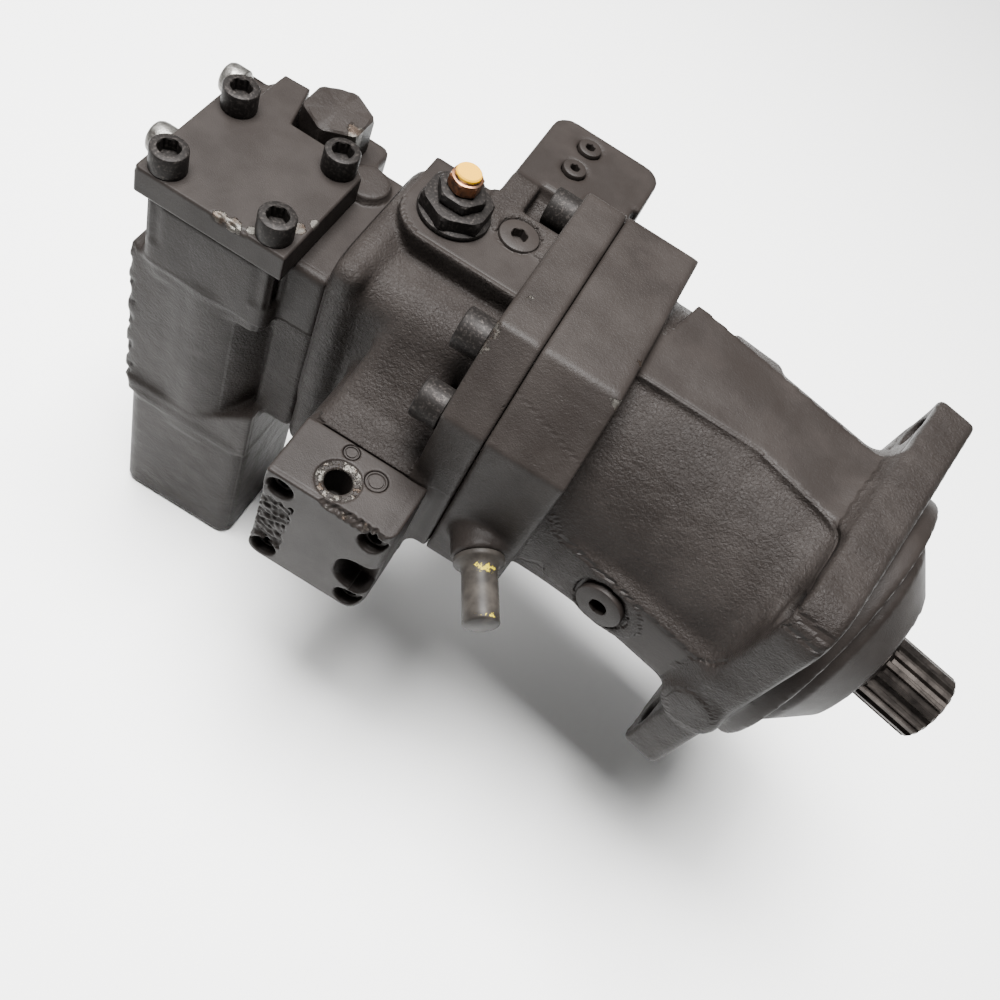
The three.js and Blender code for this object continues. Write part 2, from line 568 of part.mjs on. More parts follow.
function plugs() {
  addPiece(bent, 'gauge_port_plug', socketPlug('z', 1, PAD_TOP - GAUGE_HEAD_HEIGHT, GAUGE_AT,
    GAUGE_HEAD_R, GAUGE_HEAD_HEIGHT, GAUGE_THREAD_R, 14), blackScrew);
  BLOCK_PLUGS_AT.forEach((at, i) => {
    const plug = rod('z', BLOCK_PLUG_R, PAD_TOP - BLOCK_PLUG_REACH, PAD_TOP + BLOCK_PLUG_RISE, at, 20)
      .subtract(hexBar('z', BLOCK_PLUG_KEY, PAD_TOP - 4, PAD_TOP + OVERCUT, at));
    addPiece(bent, `port_block_plug_${i + 1}`, plug, blackScrew);
  });
  addPiece(pump, 'drain_plug', socketPlug('y', -1, SIDE_PAD_Y + 1 - GAP, [DRAIN_Z, DRAIN_X],
    DRAIN_HEAD_R, DRAIN_HEAD_HEIGHT, DRAIN_THREAD_R, 16), blackScrew);
}

function flangeScrews() {
  FLANGE_SCREWS.forEach((at, i) => {
    const screw = capScrew('x', -1, PORT_FLANGE_A - GAP, PORT_FLANGE_THICK + FLANGE_SCREW_REACH, at,
      FLANGE_SCREW_R, FLANGE_HEAD_R, FLANGE_HEAD_HEIGHT);
    addPiece(bent, `flange_screw_${i + 1}`, screw, blackScrew);
  });
}

// ---------- control block ----------
function controlScrewCentres() {
  const [u, v] = [CONTROL_SCREW_PITCH[1] / 2, CONTROL_SCREW_PITCH[0] / 2];
  return [[u, -v], [u, v], [-u, -v], [-u, v]].map(([z, a]) => [CONTROL_MID_Z + z, CONTROL_MID_A + a]);
}

function controlBlock() {
  const ws = [CONTROL_FACE_W, NEAR_MOUNT_W - GAP];
  const outline = roundedRectangle([CONTROL_FOOT, CONTROL_TOP], CONTROL_A, CONTROL_CORNER_R);
  const body = prism('y', outline, ws[0], ws[1], 3);
  const sunk = CONTROL_HEAD_HEIGHT + CONTROL_HEAD_SINK;
  const spoolBore = rod('x', CONTROL_SPOOL_R + GAP, CONTROL_A[0] - OVERCUT, CONTROL_A[1] - CONTROL_END_WALL,
    [CONTROL_MID_W, CONTROL_MID_Z], 20);
  const cornerPocket = rod('y', CONTROL_POCKET_R, CONTROL_FACE_W - OVERCUT,
    CONTROL_FACE_W + CONTROL_POCKET_DEPTH, [CONTROL_MID_Z - 5, CONTROL_A[1] - 7], 24);
  addPiece(bent, 'control_block', minus(body, [
    spoolBore, cornerPocket,
    ...controlScrewCentres().map((at) => rod('y', CONTROL_SCREW_R + GAP, ws[0] - OVERCUT,
      ws[1] + OVERCUT, at, 14)),
    ...controlScrewCentres().map((at) => rod('y', CONTROL_HEAD_R + 0.6, ws[0] - OVERCUT,
      ws[0] + sunk, at, 20)),
    rod('z', CONTROL_PORT_R, CONTROL_TOP - CONTROL_PORT_DEPTH, CONTROL_TOP + OVERCUT, CONTROL_PORT_AT, 24),
    rod('z', CONTROL_PORT_RING_R, CONTROL_TOP - 1, CONTROL_TOP + OVERCUT, CONTROL_PORT_AT, 28),
    ...CONTROL_PLUGS_AT.map(([a, w, r]) => rod('z', r + GAP, CONTROL_TOP - 8,
      CONTROL_TOP + OVERCUT, [a, w], 16)),
  ]), paint);
  controlScrewCentres().forEach((at, i) => addPiece(bent, `control_screw_${i + 1}`,
    capScrew('y', -1, ws[0] + sunk - GAP, CONTROL_DEPTH - sunk + 12, at, CONTROL_SCREW_R,
      CONTROL_HEAD_R, CONTROL_HEAD_HEIGHT), blackScrew));
  CONTROL_PLUGS_AT.forEach(([a, w, r], i) => addPiece(bent, `control_top_plug_${i + 1}`,
    rod('z', r, CONTROL_TOP - 7, CONTROL_TOP - 0.3, [a, w], 16), paint));
  const at = [CONTROL_MID_W, CONTROL_MID_Z];
  const plugInner = CONTROL_A[0] + CONTROL_END_WALL;
  addPiece(bent, 'control_end_plug', rod('x', CONTROL_SPOOL_R, CONTROL_A[0] + GAP, plugInner, at, 12)
    .subtract(hexBar('x', CONTROL_SPOOL_R, CONTROL_A[0] - OVERCUT, CONTROL_A[0] + 4, at)), blackScrew);
  const from = CONTROL_A[0] + CONTROL_END_WALL + CONTROL_SPOOL_TRAVEL + 1;
  const to = CONTROL_A[1] - CONTROL_END_WALL - CONTROL_SPOOL_TRAVEL - 1;
  const middle = (from + to) / 2;
  addPiece(bent, 'control_spool', union(
    rod('x', CONTROL_SPOOL_R - 2.5, from, to, at, 10),
    ...[from, middle - 4, to - 8].map((a) => rod('x', CONTROL_SPOOL_R, a, a + 8, at, 12))), steel);
}

// ---------- brake valve ----------
function valveBody() {
  const [a, w] = VALVE_CENTRE;
  const inset = COVER_HALF - UPPER_BLOCK_INSET;
  const upper = prism('z', roundedRectangle([a - inset, a + inset], [w - inset, UPPER_BLOCK_FAR_W], 6),
    UPPER_BLOCK_FOOT, VALVE_TOP, 3);
  const barrel = rod('z', BARREL_VALVE_R, LOWER_BLOCK_TOP - 1, UPPER_BLOCK_FOOT + 1, [a, w], 28);
  const lower = prism('z', roundedRectangle([a - COVER_HALF, a + COVER_HALF],
    [w - inset, w + inset], 9), LOWER_BLOCK_FOOT, LOWER_BLOCK_TOP, 4);
  const bridge = block([a, PLATE_REAR - VALVE_FLANGE_THICK + 1],
    [w - BRIDGE_HALF_WIDTH, w + BRIDGE_HALF_WIDTH], [LOWER_BLOCK_TOP - 1, UPPER_BLOCK_FOOT + 1]);
  const flange = prism('x', roundedRectangle(VALVE_FLANGE_W, VALVE_FLANGE_Z, VALVE_FLANGE_CORNER_R),
    PLATE_REAR - VALVE_FLANGE_THICK, PLATE_REAR - GAP, 3);
  const portPad = block([a - VALVE_PORT_PAD_REACH, a], [w - VALVE_PORT_PAD_HALF, w + VALVE_PORT_PAD_HALF],
    [LOWER_BLOCK_TOP, UPPER_BLOCK_FOOT]);
  const body = union(upper, barrel, lower, bridge, flange, portPad, ...REAR_SCREWS_AT.map(
    (at) => rod('x', REAR_SCREW_BOSS_R, a - REAR_SCREW_STANDOFF + GAP, a, at, 20)));
  return minus(body, [
    rod('z', VALVE_SPOOL_R + GAP, LOWER_BLOCK_FOOT + VALVE_SPOOL_FLOOR, VALVE_TOP + OVERCUT, [a, w], 16),
    ...VALVE_PORT_Z.map((z) => rod('x', VALVE_PORT_R, a - VALVE_PORT_PAD_REACH - OVERCUT, a, [w, z], 18)),
    ...coverScrewCentres().map((at) => rod('z', COVER_SCREW_R + GAP, VALVE_TOP - 28,
      VALVE_TOP + OVERCUT, at, 16)),
    ...REAR_SCREWS_AT.map((at) => rod('x', COVER_SCREW_R + GAP, a - REAR_SCREW_STANDOFF - OVERCUT,
      a - REAR_SCREW_STANDOFF + REAR_SCREW_REACH + 12, at, 16)),
    rod('z', HEX_PLUG_AF / 2 - 4 + GAP, VALVE_TOP - 24, VALVE_TOP + OVERCUT, HEX_PLUG_AT, 14),
  ]);
}

function coverScrewCentres() {
  const half = COVER_SCREW_PITCH / 2;
  const [a, w] = VALVE_CENTRE;
  return [[-half, half], [-half, -half], [half, -half], [half, half]].map(([u, v]) => [a + u, w + v]);
}

function brakeValve() {
  addPiece(bent, 'valve_body', valveBody(), castPaint);
  const [a, w] = VALVE_CENTRE;
  const near = w - COVER_HALF + 2;
  const far = w + COVER_HALF - 2;
  const cover = prism('z', [[a - COVER_HALF, near], [a + COVER_HALF, near], [a + COVER_HALF, far - 6],
    [a + COVER_HALF - 7, far], [a - COVER_HALF + COVER_TAB_LENGTH + 12, far],
    [a - COVER_HALF + COVER_TAB_LENGTH, COVER_TAB_W], [a - COVER_HALF + 4, COVER_TAB_W],
    [a - COVER_HALF, COVER_TAB_W - 8]], COVER_FOOT, COVER_TOP);
  addPiece(bent, 'valve_cover', minus(cover, coverScrewCentres().map(
    (at) => rod('z', COVER_SCREW_R + GAP, COVER_FOOT - OVERCUT, COVER_TOP + OVERCUT, at, 16))), paint);
  coverScrewCentres().forEach((at, i) => addPiece(bent, `cover_screw_${i + 1}`,
    capScrew('z', 1, COVER_TOP + GAP, COVER_THICK + 24, at, COVER_SCREW_R, COVER_HEAD_R,
      COVER_HEAD_HEIGHT), blackScrew));
  REAR_SCREWS_AT.forEach((at, i) => addPiece(bent, `valve_rear_screw_${i + 1}`,
    capScrew('x', -1, a - REAR_SCREW_STANDOFF, REAR_SCREW_REACH, at, COVER_SCREW_R, COVER_HEAD_R,
      COVER_HEAD_HEIGHT), worn));
  addPiece(bent, 'valve_hex_plug', union(
    rod('z', HEX_PLUG_AF / 2 - 4, VALVE_TOP - 20, VALVE_TOP + 1, HEX_PLUG_AT, 14),
    hexBar('z', HEX_PLUG_AF, VALVE_TOP + GAP, HEX_PLUG_TOP, HEX_PLUG_AT)), blackScrew);
  const low = LOWER_BLOCK_FOOT + VALVE_SPOOL_FLOOR + VALVE_SPOOL_TRAVEL + 2;
  const high = VALVE_TOP - VALVE_SPOOL_TRAVEL - 2;
  const lands = [low, low + 60, low + 130, high - VALVE_LAND];
  addPiece(bent, 'valve_spool', union(rod('z', VALVE_SPOOL_R - 4, low, high, [a, w], 12),
    ...lands.map((z) => rod('z', VALVE_SPOOL_R, z, z + VALVE_LAND, [a, w], 14))), steel);
}

// ---------- rotating group ----------
function splineOutline() {
  const points = [];
  const pitch = Math.PI * 2 / SPLINE_TEETH;
  for (let i = 0; i < SPLINE_TEETH; i += 1) {
    [[-0.31, SPLINE_ROOT_R], [-0.17, SPLINE_R], [0.17, SPLINE_R], [0.31, SPLINE_ROOT_R]]
      .forEach(([part, r]) => {
        const angle = (i + part) * pitch;
        points.push([r * Math.cos(angle), r * Math.sin(angle)]);
      });
  }
  return points;
}

const ballCentres = () => Array.from({ length: PISTONS }, (_, k) => {
  const angle = Math.PI * 2 * k / PISTONS;
  return [BALL_PITCH_R * Math.cos(angle), BALL_PITCH_R * Math.sin(angle)];
});

const ballSockets = () => [
  ball(CENTRE_BALL_R + SOCKET_CLEARANCE, BEND_X, 0, 0, 14),
  ...ballCentres().map(([y, z]) => ball(BALL_R + SOCKET_CLEARANCE, BEND_X, y, z)),
];

function driveShaft() {
  const stem = turned([
    [BEND_X + GAP / 2, 0], [BEND_X + GAP / 2, DRIVE_FLANGE_R],
    [BEND_X + DRIVE_FLANGE_THICK, DRIVE_FLANGE_R], [BEND_X + DRIVE_FLANGE_THICK + 8, REAR_JOURNAL_R + 5],
    [REAR_BEARING_X - GAP, REAR_JOURNAL_R + 5], [REAR_BEARING_X - GAP, REAR_JOURNAL_R],
    [REAR_BEARING_X + REAR_BEARING_WIDTH, REAR_JOURNAL_R],
    [REAR_BEARING_X + REAR_BEARING_WIDTH, FRONT_JOURNAL_R],
    [FRONT_BEARING_X + FRONT_BEARING_WIDTH, FRONT_JOURNAL_R],
    [FRONT_BEARING_X + FRONT_BEARING_WIDTH, SEAL_LAND_R], [SPLINE_START, SEAL_LAND_R],
    [SPLINE_START + 3, SPLINE_ROOT_R], [SPLINE_START + 3, 0]], 28);
  const endCone = turned([[SPLINE_START, 0], [SPLINE_START, SPLINE_R + 1],
    [SHAFT_END - SHAFT_CHAMFER, SPLINE_R + 1], [SHAFT_END - SHAFT_CHAMFER, SPLINE_R],
    [SHAFT_END, SPLINE_R - SHAFT_CHAMFER], [SHAFT_END, 0]], 36);
  const spline = prism('x', splineOutline(), SPLINE_START + 1, SHAFT_END).intersect(endCone);
  return minus(stem.add(spline), ballSockets());
}

function bearing(name, x, width, outerR, innerR) {
  const split = (outerR + innerR) / 2;
  addPiece(pump, `${name}_bearing_cup`, ring([x, x + width], [split + 3, split + 3 + BEARING_TAPER],
    outerR), steel);
  addPiece(pump, `${name}_bearing_cone`, ring([x + 1, x + width - 1], innerR + GAP,
    [split + 1.5, split + 1.5 + BEARING_TAPER]), steel);
}

function rotatingGroup() {
  addPiece(pump, 'drive_shaft', driveShaft(), steel);
  const plate = turned([[BEND_X - RETAINER_THICK, 0], [BEND_X - RETAINER_THICK, DRIVE_FLANGE_R],
    [BEND_X - GAP / 2, DRIVE_FLANGE_R], [BEND_X - GAP / 2, 0]], 28);
  addPiece(pump, 'retaining_plate', minus(plate, ballSockets()), steel);
  addPiece(pump, 'shaft_seal', ring([SEAL_X, SEAL_X + SEAL_WIDTH], SEAL_LAND_R + GAP, SEAL_R), rubber);
  bearing('front', FRONT_BEARING_X, FRONT_BEARING_WIDTH, FRONT_BEARING_R, FRONT_JOURNAL_R);
  bearing('rear', REAR_BEARING_X, REAR_BEARING_WIDTH, REAR_BEARING_R, REAR_JOURNAL_R);

  const bores = ballCentres().map(([y, z]) => [y, z].map((v) => v * BORE_PITCH_R / BALL_PITCH_R));
  const blank = turned([[-BLOCK_REAR, 0], [-BLOCK_REAR, BLOCK_REAR_R],
    [-BLOCK_REAR + BLOCK_SHOULDER, BLOCK_R], [-BLOCK_FRONT, BLOCK_R], [-BLOCK_FRONT, 0]], 28);
  addPiece(bent, 'cylinder_block', minus(blank, [
    rod('x', CENTRE_PIN_R + GAP, -BLOCK_REAR - OVERCUT, -BLOCK_FRONT + OVERCUT, [0, 0], 20),
    ...bores.map((at) => rod('x', BORE_R, -BLOCK_REAR + BORE_FLOOR, -BLOCK_FRONT + OVERCUT, at, 18)),
    ...bores.map((at) => rod('x', BLOCK_PORT_R, -BLOCK_REAR - OVERCUT, -BLOCK_REAR + BORE_FLOOR + 1,
      at, 8)),
  ]), steel);

  addPiece(bent, 'centre_pin', ball(CENTRE_BALL_R, 0, 0, 0, 12)
    .add(rod('x', CENTRE_PIN_R, -SLIDEWAY_R + 5, 0, [0, 0], 12)), steel);
  addPiece(bent, 'control_lens', controlLens(), bronze);
  const positioning = rod('y', POSITIONING_R, -30, 30, [0, POSITIONING_A], 18);
  addPiece(bent, 'positioning_piston', positioning.subtract(block(
    [POSITIONING_A - STROKING_PIN_R - 2, POSITIONING_A + POSITIONING_R + OVERCUT],
    [-STROKING_PIN_R - STROKING_PIN_PLAY, STROKING_PIN_R + STROKING_PIN_PLAY],
    [-STROKING_PIN_R - 1, STROKING_PIN_R + 1])), steel);

  // Balls and pistons stand parallel to the block axis, each from its own ball centre.
  ballCentres().forEach(([y, z], k) => {
    const holder = new THREE.Group();
    holder.position.set(BEND_X, y, z);
    holder.rotation.z = BEND;
    pump.add(holder);
    addPiece(holder, `piston_ball_${k + 1}`, ball(BALL_R, 0, 0, 0, 10), steel);
    const piston = turned([[-PISTON_LENGTH, 0], [-PISTON_LENGTH, PISTON_R], [-PISTON_SHOULDER, PISTON_R],
      [-ROD_LENGTH, PISTON_ROD_R], [-BALL_R + 3, PISTON_ROD_R], [-BALL_R + 3, 0]], 12)
      .subtract(ball(BALL_R + SOCKET_CLEARANCE, 0, 0, 0, 10));
    addPiece(holder, `piston_${k + 1}`, piston, steel);
  });
}

// The lens has a flat front for the block and a round back for the slideway.
function controlLens() {
  const backR = SLIDEWAY_R - GAP * 2;
  const half = Math.asin(LENS_HALF_WIDTH / backR);
  const shape = new THREE.Shape();
  shape.moveTo(-LENS_FRONT, LENS_HALF_WIDTH);
  shape.absarc(0, 0, backR, Math.PI - half, Math.PI + half);
  shape.lineTo(-LENS_FRONT, -LENS_HALF_WIDTH);
  const plate = prism('z', shape, -LENS_HALF_HEIGHT, LENS_HALF_HEIGHT, 16);
  const kidney = (turn) => {
    const outline = new THREE.Shape();
    const [inner, outer] = [BORE_PITCH_R - KIDNEY_HALF_WIDTH, BORE_PITCH_R + KIDNEY_HALF_WIDTH];
    outline.absarc(0, 0, outer, turn - KIDNEY_HALF_ANGLE, turn + KIDNEY_HALF_ANGLE);
    outline.absarc(0, 0, inner, turn + KIDNEY_HALF_ANGLE, turn - KIDNEY_HALF_ANGLE, true);
    return prism('x', outline, -SLIDEWAY_R, -LENS_FRONT + OVERCUT, 8);
  };
  const room = block([-SLIDEWAY_R, -LENS_FRONT + OVERCUT], [-LENS_HALF_WIDTH + 5, LENS_HALF_WIDTH - 5],
    [-LENS_HALF_HEIGHT + 4, LENS_HALF_HEIGHT - 4]);
  return minus(plate, [kidney(0).intersect(room), kidney(Math.PI).intersect(room),
    rod('x', CENTRE_PIN_R + GAP, -SLIDEWAY_R + 4, -LENS_FRONT + OVERCUT, [0, 0], 18)])
    .add(rod('x', STROKING_PIN_R, POSITIONING_A - 2, -backR + 2, [0, 0], 16));
}

addPiece(pump, 'main_housing', mainHousing(), castPaint);
addPiece(bent, 'port_plate', portPlate(), castPaint);
addPiece(bent, 'stop_screw_cap', stopScrewCap(), paint);
flangeScrews();
reliefValve();
plugs();
controlBlock();
brakeValve();
rotatingGroup();

export default pump;
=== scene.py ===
import bmesh
import bpy
import numpy as np
from mathutils import Matrix, Vector


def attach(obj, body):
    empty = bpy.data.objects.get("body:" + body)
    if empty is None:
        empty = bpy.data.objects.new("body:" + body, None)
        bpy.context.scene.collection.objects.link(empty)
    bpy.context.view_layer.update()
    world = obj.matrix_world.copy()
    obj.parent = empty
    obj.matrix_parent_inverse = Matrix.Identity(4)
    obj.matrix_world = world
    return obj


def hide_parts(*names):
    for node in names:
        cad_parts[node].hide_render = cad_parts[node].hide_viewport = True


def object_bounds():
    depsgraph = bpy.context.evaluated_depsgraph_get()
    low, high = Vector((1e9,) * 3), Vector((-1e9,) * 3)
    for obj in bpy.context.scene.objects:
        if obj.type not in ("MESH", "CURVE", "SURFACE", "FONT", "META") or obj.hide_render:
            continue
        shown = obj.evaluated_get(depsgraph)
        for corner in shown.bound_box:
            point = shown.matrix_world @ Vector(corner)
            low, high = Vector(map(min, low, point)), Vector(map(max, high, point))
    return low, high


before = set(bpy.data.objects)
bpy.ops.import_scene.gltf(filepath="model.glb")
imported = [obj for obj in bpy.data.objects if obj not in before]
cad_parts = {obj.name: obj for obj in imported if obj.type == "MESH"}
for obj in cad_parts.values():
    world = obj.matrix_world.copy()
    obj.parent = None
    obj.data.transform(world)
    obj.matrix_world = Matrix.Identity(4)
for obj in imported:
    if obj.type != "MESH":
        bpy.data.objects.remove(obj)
cad_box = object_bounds()

# ---------- camera, light and floor ----------
# The unit is seen from above its near side, with the shaft running away to the lower right.
# A large soft box hangs over it, two weaker ones stand at its near side and its left, and the
# floor is plain and pale.
camera = bpy.data.objects.new("camera", bpy.data.cameras.new("camera"))
bpy.context.scene.collection.objects.link(camera)
view_right = Vector((0.7417, 0.5919, 0.3154))
view_up = Vector((-0.6630, 0.5763, 0.4777))
view_back = Vector((0.1010, -0.5634, 0.8200))
camera_place = Matrix((view_right, view_up, view_back)).transposed().to_4x4()
camera_place.translation = Vector((-0.0995, -0.3706, 0.4212))
camera.matrix_world = camera_place
camera.data.lens = 37.56
camera.data.sensor_width = 36
bpy.context.scene.camera = camera

world = bpy.data.worlds.new("studio")
bpy.context.scene.world = world
world.use_nodes = True
sky = world.node_tree.nodes["Background"]
sky.inputs["Color"].default_value = (1.0, 0.995, 0.985, 1)
sky.inputs["Strength"].default_value = 0.12


def soft_box(name, place, aim, size, power):
    """A square area light at place that faces aim. Its size is its side in metres."""
    lamp = bpy.data.objects.new(name, bpy.data.lights.new(name, "AREA"))
    lamp.data.shape = "SQUARE"
    lamp.data.size = size
    lamp.data.energy = power
    lamp.location = place
    lamp.rotation_euler = (Vector(aim) - Vector(place)).to_track_quat("-Z", "Y").to_euler()
    bpy.context.scene.collection.objects.link(lamp)


soft_box("overhead", (-0.4, 0.0, 1.5), (-0.15, 0, 0), 0.9, 190)
soft_box("near_side", (-1.0, -0.8, 0.7), (-0.2, -0.05, -0.05), 0.7, 2)
soft_box("left_side", (-1.2, 0.2, 0.8), (-0.1, 0, 0), 0.7, 10)

floor_level = cad_box[0][2] - 0.001
floor_half = 6
floor_corners = [(-floor_half, -floor_half), (floor_half, -floor_half), (floor_half, floor_half),
                 (-floor_half, floor_half)]
floor_mesh = bpy.data.meshes.new("floor")
floor_mesh.from_pydata([(x, y, floor_level) for x, y in floor_corners], [], [(0, 1, 2, 3)])
floor = bpy.data.objects.new("floor", floor_mesh)
bpy.context.scene.collection.objects.link(floor)
floor_paint = bpy.data.materials.new("pale_floor")
floor_paint.use_nodes = True
floor_shader = floor_paint.node_tree.nodes["Principled BSDF"]
floor_shader.inputs["Base Color"].default_value = (0.9, 0.9, 0.89, 1)
floor_shader.inputs["Roughness"].default_value = 0.9
floor_mesh.materials.append(floor_paint)

# ---------- main housing ----------
# A grey-iron casting, sprayed dark grey-brown. The square mounting flange, the round barrel,
# the plateau on top and the side pad run into each other with cast fillets, and only the joint
# faces and the pad tops are machined. Its skin is where a distance field is zero.
BEND_X = -100.0  # the bend point, where the port plate's axis meets the shaft's
BEND = np.radians(12.0)
SWING = np.radians(13.0)  # of the cylinder block, to each side of the port plate's axis
CHAMBER_R = 56.5
SLIDEWAY_R = 104.0
JOINT_A = -87.0
JOINT_OUTLINE = [(-52, 90), (-86.5, 55.5), (-86.5, -46), (-52, -82), (52, -82), (86.5, -46),
                 (86.5, 55.5), (52, 90)]
FLANGE_SCREWS = [(-48, 70), (-74, 45), (52, 70), (74, -45), (-36, -73), (40, -73)]
FLANGE_HALF_Y = 86
FLANGE_HALF_Z = 89
FLANGE_THICK = 22
FLANGE_EDGE = 3  # radius of the cast edge
MOUNT_HOLE = 70.71  # each way from the shaft axis
MOUNT_HOLE_R = 8.75
SPOT_FACE_R = 15.5
BARREL_R = 80
PLATEAU_TOP = 81
SIDE_PAD_Y = -84
DRAIN_X = -81
DRAIN_Z = -4
STOP_A = -60.5
STOP_W = -95
STOP_Z = -15
STOP_TURN = np.radians(29.0)  # of the stop screw, away from the joint's plane
SCREW_HOLE_R = 7.6  # of the flange screws


def turned_grid(low, high, step):
    """Three open arrays of a regular grid in the turned frame: a along the port plate's axis
    from the bend point, w across it in the swivel plane, and z up."""
    axes = [np.arange(lo, hi + step, step, dtype=np.float32) for lo, hi in zip(low, high)]
    return np.meshgrid(*axes, indexing="ij", sparse=True)


def to_shaft(a, w):
    """Turned frame to shaft frame: a turn by the bend angle about Z, then a shift to the bend
    point. Returns x and y."""
    return (BEND_X + a * np.cos(BEND) - w * np.sin(BEND), a * np.sin(BEND) + w * np.cos(BEND))


def box_field(p, low, high, r=1.0):
    """Distance to a box whose edges are rounded by r: the length of the part of |p - centre| -
    half size + r that is above zero, plus the largest part where all are below, minus r."""
    q = [np.abs(c - (lo + hi) / 2) - (hi - lo) / 2 + r for c, lo, hi in zip(p, low, high)]
    outside = np.sqrt(sum(np.maximum(c, 0) ** 2 for c in q))
    inside = np.minimum(np.maximum(np.maximum(q[0], q[1]), q[2]), 0)
    return outside + inside - r


def bar_field(u, v, along, radius, low, high, r=1.0):
    """Distance to a round bar with rounded rims: as a rounded box in the two numbers
    radius from the bar's axis and distance along it."""
    across = np.sqrt(u ** 2 + v ** 2) - radius + r
    ends = np.abs(along - (low + high) / 2) - (high - low) / 2 + r
    return (np.sqrt(np.maximum(across, 0) ** 2 + np.maximum(ends, 0) ** 2)
            + np.minimum(np.maximum(across, ends), 0) - r)


def prism_field(u, v, along, outline, low, high, r=1.0):
    """Distance to a convex prism: the largest distance past its sides, taken together with
    the distance past its ends as in a rounded box."""
    points = np.array(outline, dtype=float)
    middle = points.mean(axis=0)
    across = None
    for (u0, v0), (u1, v1) in zip(points, np.roll(points, -1, axis=0)):
        normal = np.array([v1 - v0, u0 - u1]) / np.hypot(u1 - u0, v1 - v0)
        if normal @ (middle - (u0, v0)) > 0:
            normal = -normal
        side = (u - u0) * normal[0] + (v - v0) * normal[1]
        across = side if across is None else np.maximum(across, side)
    across = across + r
    ends = np.abs(along - (low + high) / 2) - (high - low) / 2 + r
    return (np.sqrt(np.maximum(across, 0) ** 2 + np.maximum(ends, 0) ** 2)
            + np.minimum(np.maximum(across, ends), 0) - r)


def slab_field(u, v, along, u_range, v_range, corner, low, high, r=1.0):
    """Distance to a block whose four long edges have the corner radius: a round bar of that
    radius, measured from the part of u and v that lies past the corners' centres."""
    past_u = np.maximum(np.abs(u - sum(u_range) / 2) - (u_range[1] - u_range[0]) / 2 + corner, 0)
    past_v = np.maximum(np.abs(v - sum(v_range) / 2) - (v_range[1] - v_range[0]) / 2 + corner, 0)
    return bar_field(past_u, past_v, along, corner, low, high, r)


def join(first, second, fillet=3.0):
    """Two solids as one with a fillet between them: the smaller distance, lowered by a smooth
    hump where the two are within the fillet's size of each other."""
    mix = np.clip(0.5 + 0.5 * (second - first) / fillet, 0, 1)
    return second + (first - second) * mix - fillet * mix * (1 - mix)


def cut(body, tool, edge=0.6):
    """The body without the tool, with a broken edge: minus the join of minus body and tool."""
    return -join(-body, tool, edge)


def block_chamber(p):
    """The space that the block swings in: three round bars at the ends and the middle of the
    swing, cut off by the round slideway."""
    a, w, z = p
    space = None
    for turn in (-SWING, 0.0, SWING):
        along = a * np.cos(turn) + w * np.sin(turn)
        across = -a * np.sin(turn) + w * np.cos(turn)
        bar = bar_field(across, z, along, CHAMBER_R, -SLIDEWAY_R - 4, 0)
        space = bar if space is None else np.minimum(space, bar)
    return np.maximum(space, np.sqrt(a ** 2 + w ** 2) - SLIDEWAY_R)


def skin_of(field, grid, step):
    """The surface where the field is zero, as vertices and quads. Each grid cell that the
    surface crosses gets one vertex, the mean of the crossing points on its edges. Each grid
    edge that is crossed gets one quad, of the four cells round it, facing the positive side."""
    inside = field < 0
    count = np.zeros(tuple(n - 1 for n in field.shape), dtype=np.int8)
    for i in (0, 1):
        for j in (0, 1):
            for k in (0, 1):
                count += inside[i:i + count.shape[0], j:j + count.shape[1], k:k + count.shape[2]]
    cells = np.argwhere((count > 0) & (count < 8))
    number = np.full(count.shape, -1, dtype=np.int64)
    number[tuple(cells.T)] = np.arange(len(cells))
    total = np.zeros((len(cells), 3))
    crossings = np.zeros(len(cells))
    quads = []
    for axis in range(3):
        one = np.eye(3, dtype=int)[axis]
        others = np.eye(3, dtype=int)[[b for b in range(3) if b != axis]]
        for i in (0, 1):
            for j in (0, 1):
                start = cells + i * others[0] + j * others[1]
                f0 = field[tuple(start.T)]
                f1 = field[tuple((start + one).T)]
                crossed = (f0 < 0) != (f1 < 0)
                part = np.where(crossed, f0 / np.where(crossed, f0 - f1, 1), 0)
                total += crossed[:, None] * (start + part[:, None] * one)
                crossings += crossed
        low = [slice(0, -1) if b == axis else slice(1, -1) for b in range(3)]
        high = [slice(1, None) if b == axis else slice(1, -1) for b in range(3)]
        flips = inside[tuple(low)] != inside[tuple(high)]
        at = np.argwhere(flips)
        at[:, [b for b in range(3) if b != axis]] += 1
        ring = [at - others[0] - others[1], at - others[1], at, at - others[0]]
        faces = np.stack([number[tuple(c.T)] for c in ring], axis=1)
        outward = inside[tuple(at.T)] == (axis != 1)
        quads.append(np.where(outward[:, None], faces, faces[:, ::-1]))
    origin = np.array([c.ravel()[0] for c in grid])
    return origin + total / crossings[:, None] * step, np.concatenate(quads)


def mesh_piece(name, vertices, faces):
    """A mesh object from an array of vertices in millimetres and an array of faces."""
    data = bpy.data.meshes.new(name)
    sides = faces.shape[1]
    data.vertices.add(len(vertices))
    data.vertices.foreach_set("co", (np.asarray(vertices) / 1000).astype(np.float32).ravel())
    data.loops.add(faces.size)
    data.loops.foreach_set("vertex_index", faces.astype(np.int32).ravel())
    data.polygons.add(len(faces))
    data.polygons.foreach_set("loop_start", np.arange(0, faces.size, sides, dtype=np.int32))
    data.polygons.foreach_set("loop_total", np.full(len(faces), sides, dtype=np.int32))
    data.polygons.foreach_set("use_smooth", np.ones(len(faces), dtype=bool))
    data.update(calc_edges=True)
    data.validate()
    piece = bpy.data.objects.new(name, data)
    bpy.context.scene.collection.objects.link(piece)
    return piece


